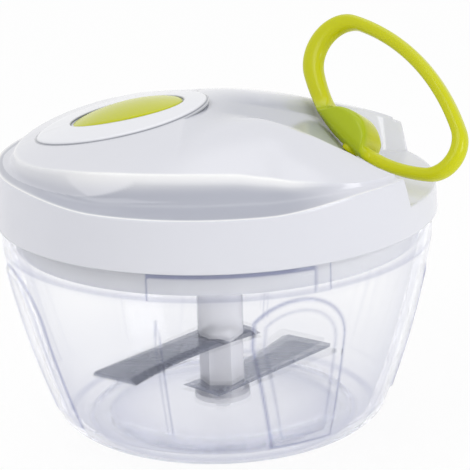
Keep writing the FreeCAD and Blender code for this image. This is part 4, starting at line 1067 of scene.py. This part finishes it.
def screwTree():
    tree, sockets, given = newTree("screwCircle", {
        "Count": "Int", "Circle Radius": "Float", "Direction": "Float", "Height": "Float",
        "Material": "Material",
    })
    places = addNode(tree, "GeometryNodeMeshCircle", {
        "Vertices": given["Count"], "Radius": given["Circle Radius"]})
    # Each screw stops at another turn of its cross
    number = addNode(tree, "GeometryNodeInputIndex")
    angle = addNode(tree, "ShaderNodeMath", {0: number.outputs[0], 1: 0.9},
                    operation="MULTIPLY")
    turn = addNode(tree, "ShaderNodeCombineXYZ", {"Z": angle.outputs[0]})
    copies = addNode(tree, "GeometryNodeInstanceOnPoints", {
        "Points": places.outputs[0], "Instance": given["Geometry"],
        "Rotation": turn.outputs[0]})
    direction = addNode(tree, "ShaderNodeCombineXYZ", {"Z": given["Direction"]})
    lift = addNode(tree, "ShaderNodeCombineXYZ", {"Z": given["Height"]})
    move = addNode(tree, "GeometryNodeTransform", {
        "Geometry": copies.outputs[0], "Rotation": direction.outputs[0],
        "Translation": lift.outputs[0]})
    finishTree(tree, move.outputs[0], given["Material"])
    return tree, sockets


def finalMesh(item, name):
    # What an object's modifiers or curve come to, as a plain mesh
    bpy.context.view_layer.update()
    mesh = bpy.data.meshes.new_from_object(
        item.evaluated_get(bpy.context.evaluated_depsgraph_get()))
    bpy.data.objects.remove(item)
    mesh.name = name
    return mesh


def grow(name, node, body, mesh, tree, sockets, values):
    seed = newObject(name + "Seed", mesh)
    modifier = seed.modifiers.new("grow", "NODES")
    modifier.node_group = tree
    for label, value in values.items():
        modifier[sockets[label]] = value
    return finishPiece(name, finalMesh(seed, name), body, node)


cord = {
    "outerRadius": 0.9,
    "innerShare": 8 / 9,  # depth of the grooves between the strands
    "strands": 8,
    "lay": 7,
    "spacing": 0.5,
    "windingRadius": 17,
    "windingPitch": 2.25,
    "windingTurns": 3,
    "pointsPerTurn": 18,
    # Where the cord leaves the winding: direction in degrees and height
    "exitTurn": -63.72,
    "exitHeight": 79,
    "exitTail": 1.8,
    "lead": ((15.6, -11.26, 79), (22, -8.1, 79), (29, -4.64, 79), (36.16, -1.1, 79),
             (39.2, -0.55, 83.2), (42.18, -0.02, 87.24)),
    "stubFrom": 0.05,
    "stubTo": 4.3,
    "knotMiddle": 6.2,
    "knotRadius": 2.2,
    "knotCord": 0.78,
    "knotHalfHeight": 2.1,
    "knotPoints": 36,
}


def splineLine(name, points, closed=False):
    # The fine line of a smooth spline through a cage of points
    data = bpy.data.curves.new(name, "CURVE")
    data.dimensions = "3D"
    data.resolution_u = 8
    spline = data.splines.new("NURBS")
    spline.points.add(len(points) - 1)
    for place, point in zip(spline.points, points):
        place.co = (*(Vector(point) * mm), 1)
    spline.order_u = 3
    spline.use_cyclic_u = closed
    spline.use_endpoint_u = not closed
    return finalMesh(newObject(name, data), name)


def cordPiece(name, node, body, points, closed=False, radius=cord["outerRadius"]):
    values = {
        "Spacing": cord["spacing"] * mm,
        "Lay": cord["lay"] * mm,
        "Strands": cord["strands"],
        "Outer Radius": radius * mm,
        "Inner Radius": radius * cord["innerShare"] * mm,
        "Material": nylon,
    }
    return grow(name, node, body, splineLine(name + "Line", points, closed), *twistedCord,
                values)


def windingPoints():
    steps = cord["windingTurns"] * cord["pointsPerTurn"]
    # The cage stands a little outside the line, which cuts its corners
    radius = cord["windingRadius"] / math.cos(math.pi / cord["pointsPerTurn"]) ** 1.5
    points = []
    for step in range(-steps, 1):
        angle = math.radians(cord["exitTurn"] + 360 * step / cord["pointsPerTurn"])
        height = cord["exitHeight"] + cord["windingPitch"] * step / cord["pointsPerTurn"]
        points.append((radius * math.cos(angle), radius * math.sin(angle), height))
    angle = math.radians(cord["exitTurn"])
    outward = Vector((math.cos(angle), math.sin(angle), 0))
    along = Vector((-outward.y, outward.x, 0))
    last = outward * cord["windingRadius"] + along * cord["exitTail"]
    points.append((last.x, last.y, cord["exitHeight"]))
    return points


def knotPoints():
    # A trefoil knot round the pull line
    toFrame = pullMatrix()
    wide = (cord["knotRadius"] - cord["knotCord"]) / 3
    high = cord["knotHalfHeight"] - cord["knotCord"]
    points = []
    for turn in np.linspace(0, 2 * math.pi, cord["knotPoints"], endpoint=False):
        place = Vector((cord["knotMiddle"] - high * math.sin(3 * turn),
                        wide * (math.sin(turn) + 2 * math.sin(2 * turn)),
                        wide * (math.cos(turn) - 2 * math.cos(2 * turn))))
        points.append(tuple(toFrame @ place))
    return points


twistedCord = cordTree()
cordPiece("cordWinding", "cord_winding", "reel", windingPoints())
cordPiece("cordLead", "cord_lead", "lid", cord["lead"])
cordPiece("cordKnot", "cord_knot", "handle", knotPoints(), True, cord["knotCord"])
start, end = [pullMatrix() @ Vector((cord[place], 0, 0)) for place in ("stubFrom", "stubTo")]
stub = cordPiece("cordStub", "cord_stub", None,
                 [start.lerp(end, share / 4) for share in range(5)])
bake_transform(stub)
print("cord made")

# Screws, with a cross in the head and a thread

screwSets = {
    "lidScrews": {"node": "lid_screws", "count": 4, "circle": 45, "direction": 45,
                  "bottom": 62.2, "headRadius": 2.8, "headHeight": 1.7, "radius": 1.25,
                  "length": 10},
    "cupScrews": {"node": "cup_screws", "count": 3, "circle": 27, "direction": 60,
                  "bottom": 88.4, "headRadius": 2.4, "headHeight": 1.8, "radius": 1.0,
                  "length": 7},
}
screw = {
    "crossHalfWidth": 0.35,
    "crossReach": 1.5,
    "crossDepth": 0.9,
    "crown": 0.45,
    "headRings": 16,
    "threadPitch": 0.9,
    "threadDepth": 0.25,
    "tip": 0.15,
    "turns": 48,
}


def screwMesh(name, sizes):
    # Head down: rings from the middle of the head's face to the tip of the thread
    head, height, radius = sizes["headRadius"], sizes["headHeight"], sizes["radius"]
    length, pitch, reachOfCross = sizes["length"], screw["threadPitch"], screw["crossReach"]
    rings = [(share * head, screw["crown"] * share ** 2.5)
             for share in np.linspace(0.02, 0.94, screw["headRings"])]
    rings += [(head, 0.75), (head, height - 0.15), (head - 0.15, height), (radius, height)]
    for step in range(int((length - 1) / pitch * 2)):
        depth = 0 if step % 2 else screw["threadDepth"]
        rings.append((radius - depth, height + 0.3 + step * pitch / 2))
    rings.append((screw["tip"], height + length))
    points = []
    for ring, (reach, drop) in enumerate(rings):
        deep = screw["crossDepth"] * (1 - 0.4 * reach / reachOfCross)
        for angle in np.linspace(0, 2 * math.pi, screw["turns"], endpoint=False):
            x, y = reach * math.cos(angle), reach * math.sin(angle)
            inCross = min(abs(x), abs(y)) < screw["crossHalfWidth"] and reach < reachOfCross
            cut = ring < screw["headRings"] and inCross
            points.append((x, y, max(drop, deep) if cut else drop))
    return smoothMesh(name, points, ringFaces(len(rings), screw["turns"], "capped"), 35)


screwCircle = screwTree()
for name, sizes in screwSets.items():
    values = {
        "Count": sizes["count"],
        "Circle Radius": sizes["circle"] * mm,
        "Direction": math.radians(sizes["direction"]),
        "Height": sizes["bottom"] * mm,
        "Material": turnedSteel,
    }
    grow(name, sizes["node"], "lid", screwMesh(name, sizes), *screwCircle, values)
print("screws made")

# Finishes of the nodes that keep their shape

finishes = {
    "foot_ring": softClear,
    "bowl_pin": polishedSteel,
    "upper_blade": bladeSteel,
    "lower_blade": bladeSteel,
    "blade_column": milkyPlastic,
    "lid_seal": silicone,
    "eyelet": satinWhite,
    "inner_plate": satinWhite,
    "drive_bush": acetal,
    "spring_cup": satinWhite,
    "return_spring": springSteel,
    "reel": acetal,
    "ratchet_ring": turnedSteel,
    "drive_hub": acetal,
    "pawls": acetal,
    "pawl_pins": turnedSteel,
    "knot_cap": limePlastic,
}
for node, material in finishes.items():
    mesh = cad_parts[node].data
    mesh.materials.clear()
    mesh.materials.append(material)
print("nodes finished")

# Floor and soft studio light

studio = {
    "floor": "#FFFFFF",
    "floorHalf": 3,
    # How white the floor looks where it is seen directly, from its own shade to pure white
    "floorWhite": 0.93,
    "world": 0.5,
    "aim": (0, 0, 0.06),
    # Place and width in metres, power in watts
    "lamps": {
        "key": ((-0.8, -0.6, 1.2), 0.9, 6),
        "top": ((-0.2, 0.6, 1.5), 1.2, 4),
        "side": ((1.2, -0.7, 0.5), 0.7, 7),
    },
}


def seenDirectly(tree):
    # 1 for what the camera, a reflection or clear plastic sees, 0 for light on the object
    path = addNode(tree, "ShaderNodeLightPath").outputs
    either = addNode(tree, "ShaderNodeMath", {
        0: path["Is Camera Ray"], 1: path["Is Glossy Ray"]}, operation="MAXIMUM")
    either = addNode(tree, "ShaderNodeMath", {
        0: either.outputs[0], 1: path["Is Transmission Ray"]}, operation="MAXIMUM")
    return either.outputs[0]


def addFloor():
    half = studio["floorHalf"]
    mesh = bpy.data.meshes.new("floor")
    mesh.from_pydata([(-half, -half, 0), (half, -half, 0), (half, half, 0), (-half, half, 0)],
                     [], [(0, 1, 2, 3)])
    material, tree, shader = newMaterial("paleFloor", {
        "Base Color": colour(studio["floor"]), "Roughness": 0.6})
    white = addNode(tree, "ShaderNodeEmission", {"Strength": 1})
    share = addNode(tree, "ShaderNodeMath", {
        0: seenDirectly(tree), 1: studio["floorWhite"]}, operation="MULTIPLY")
    mix = addNode(tree, "ShaderNodeMixShader", {
        0: share.outputs[0], 1: shader.outputs[0], 2: white.outputs[0]})
    setInputs(tree.nodes["Material Output"], {"Surface": mix.outputs[0]})
    mesh.materials.append(material)
    newObject("floor", mesh)


def addLamp(name, place, size, power):
    data = bpy.data.lights.new(name, "AREA")
    data.size = size
    data.energy = power
    lamp = newObject(name, data)
    lamp.location = place
    aim = Vector(studio["aim"]) - lamp.location
    lamp.rotation_euler = aim.to_track_quat("-Z", "Y").to_euler()


def addWorld():
    world = bpy.data.worlds.new("studio")
    world.use_nodes = True
    tree = world.node_tree
    light = tree.nodes["Background"]
    white = (1, 1, 1, 1)
    setInputs(light, {"Color": white, "Strength": studio["world"]})
    seen = addNode(tree, "ShaderNodeBackground", {"Color": white})
    mix = addNode(tree, "ShaderNodeMixShader", {
        0: seenDirectly(tree), 1: light.outputs[0], 2: seen.outputs[0]})
    setInputs(tree.nodes["World Output"], {"Surface": mix.outputs[0]})
    bpy.context.scene.world = world


addFloor()
addWorld()
for name, lamp in studio["lamps"].items():
    addLamp(name, *lamp)
bpy.context.scene.view_settings.view_transform = "Standard"
print("studio made")
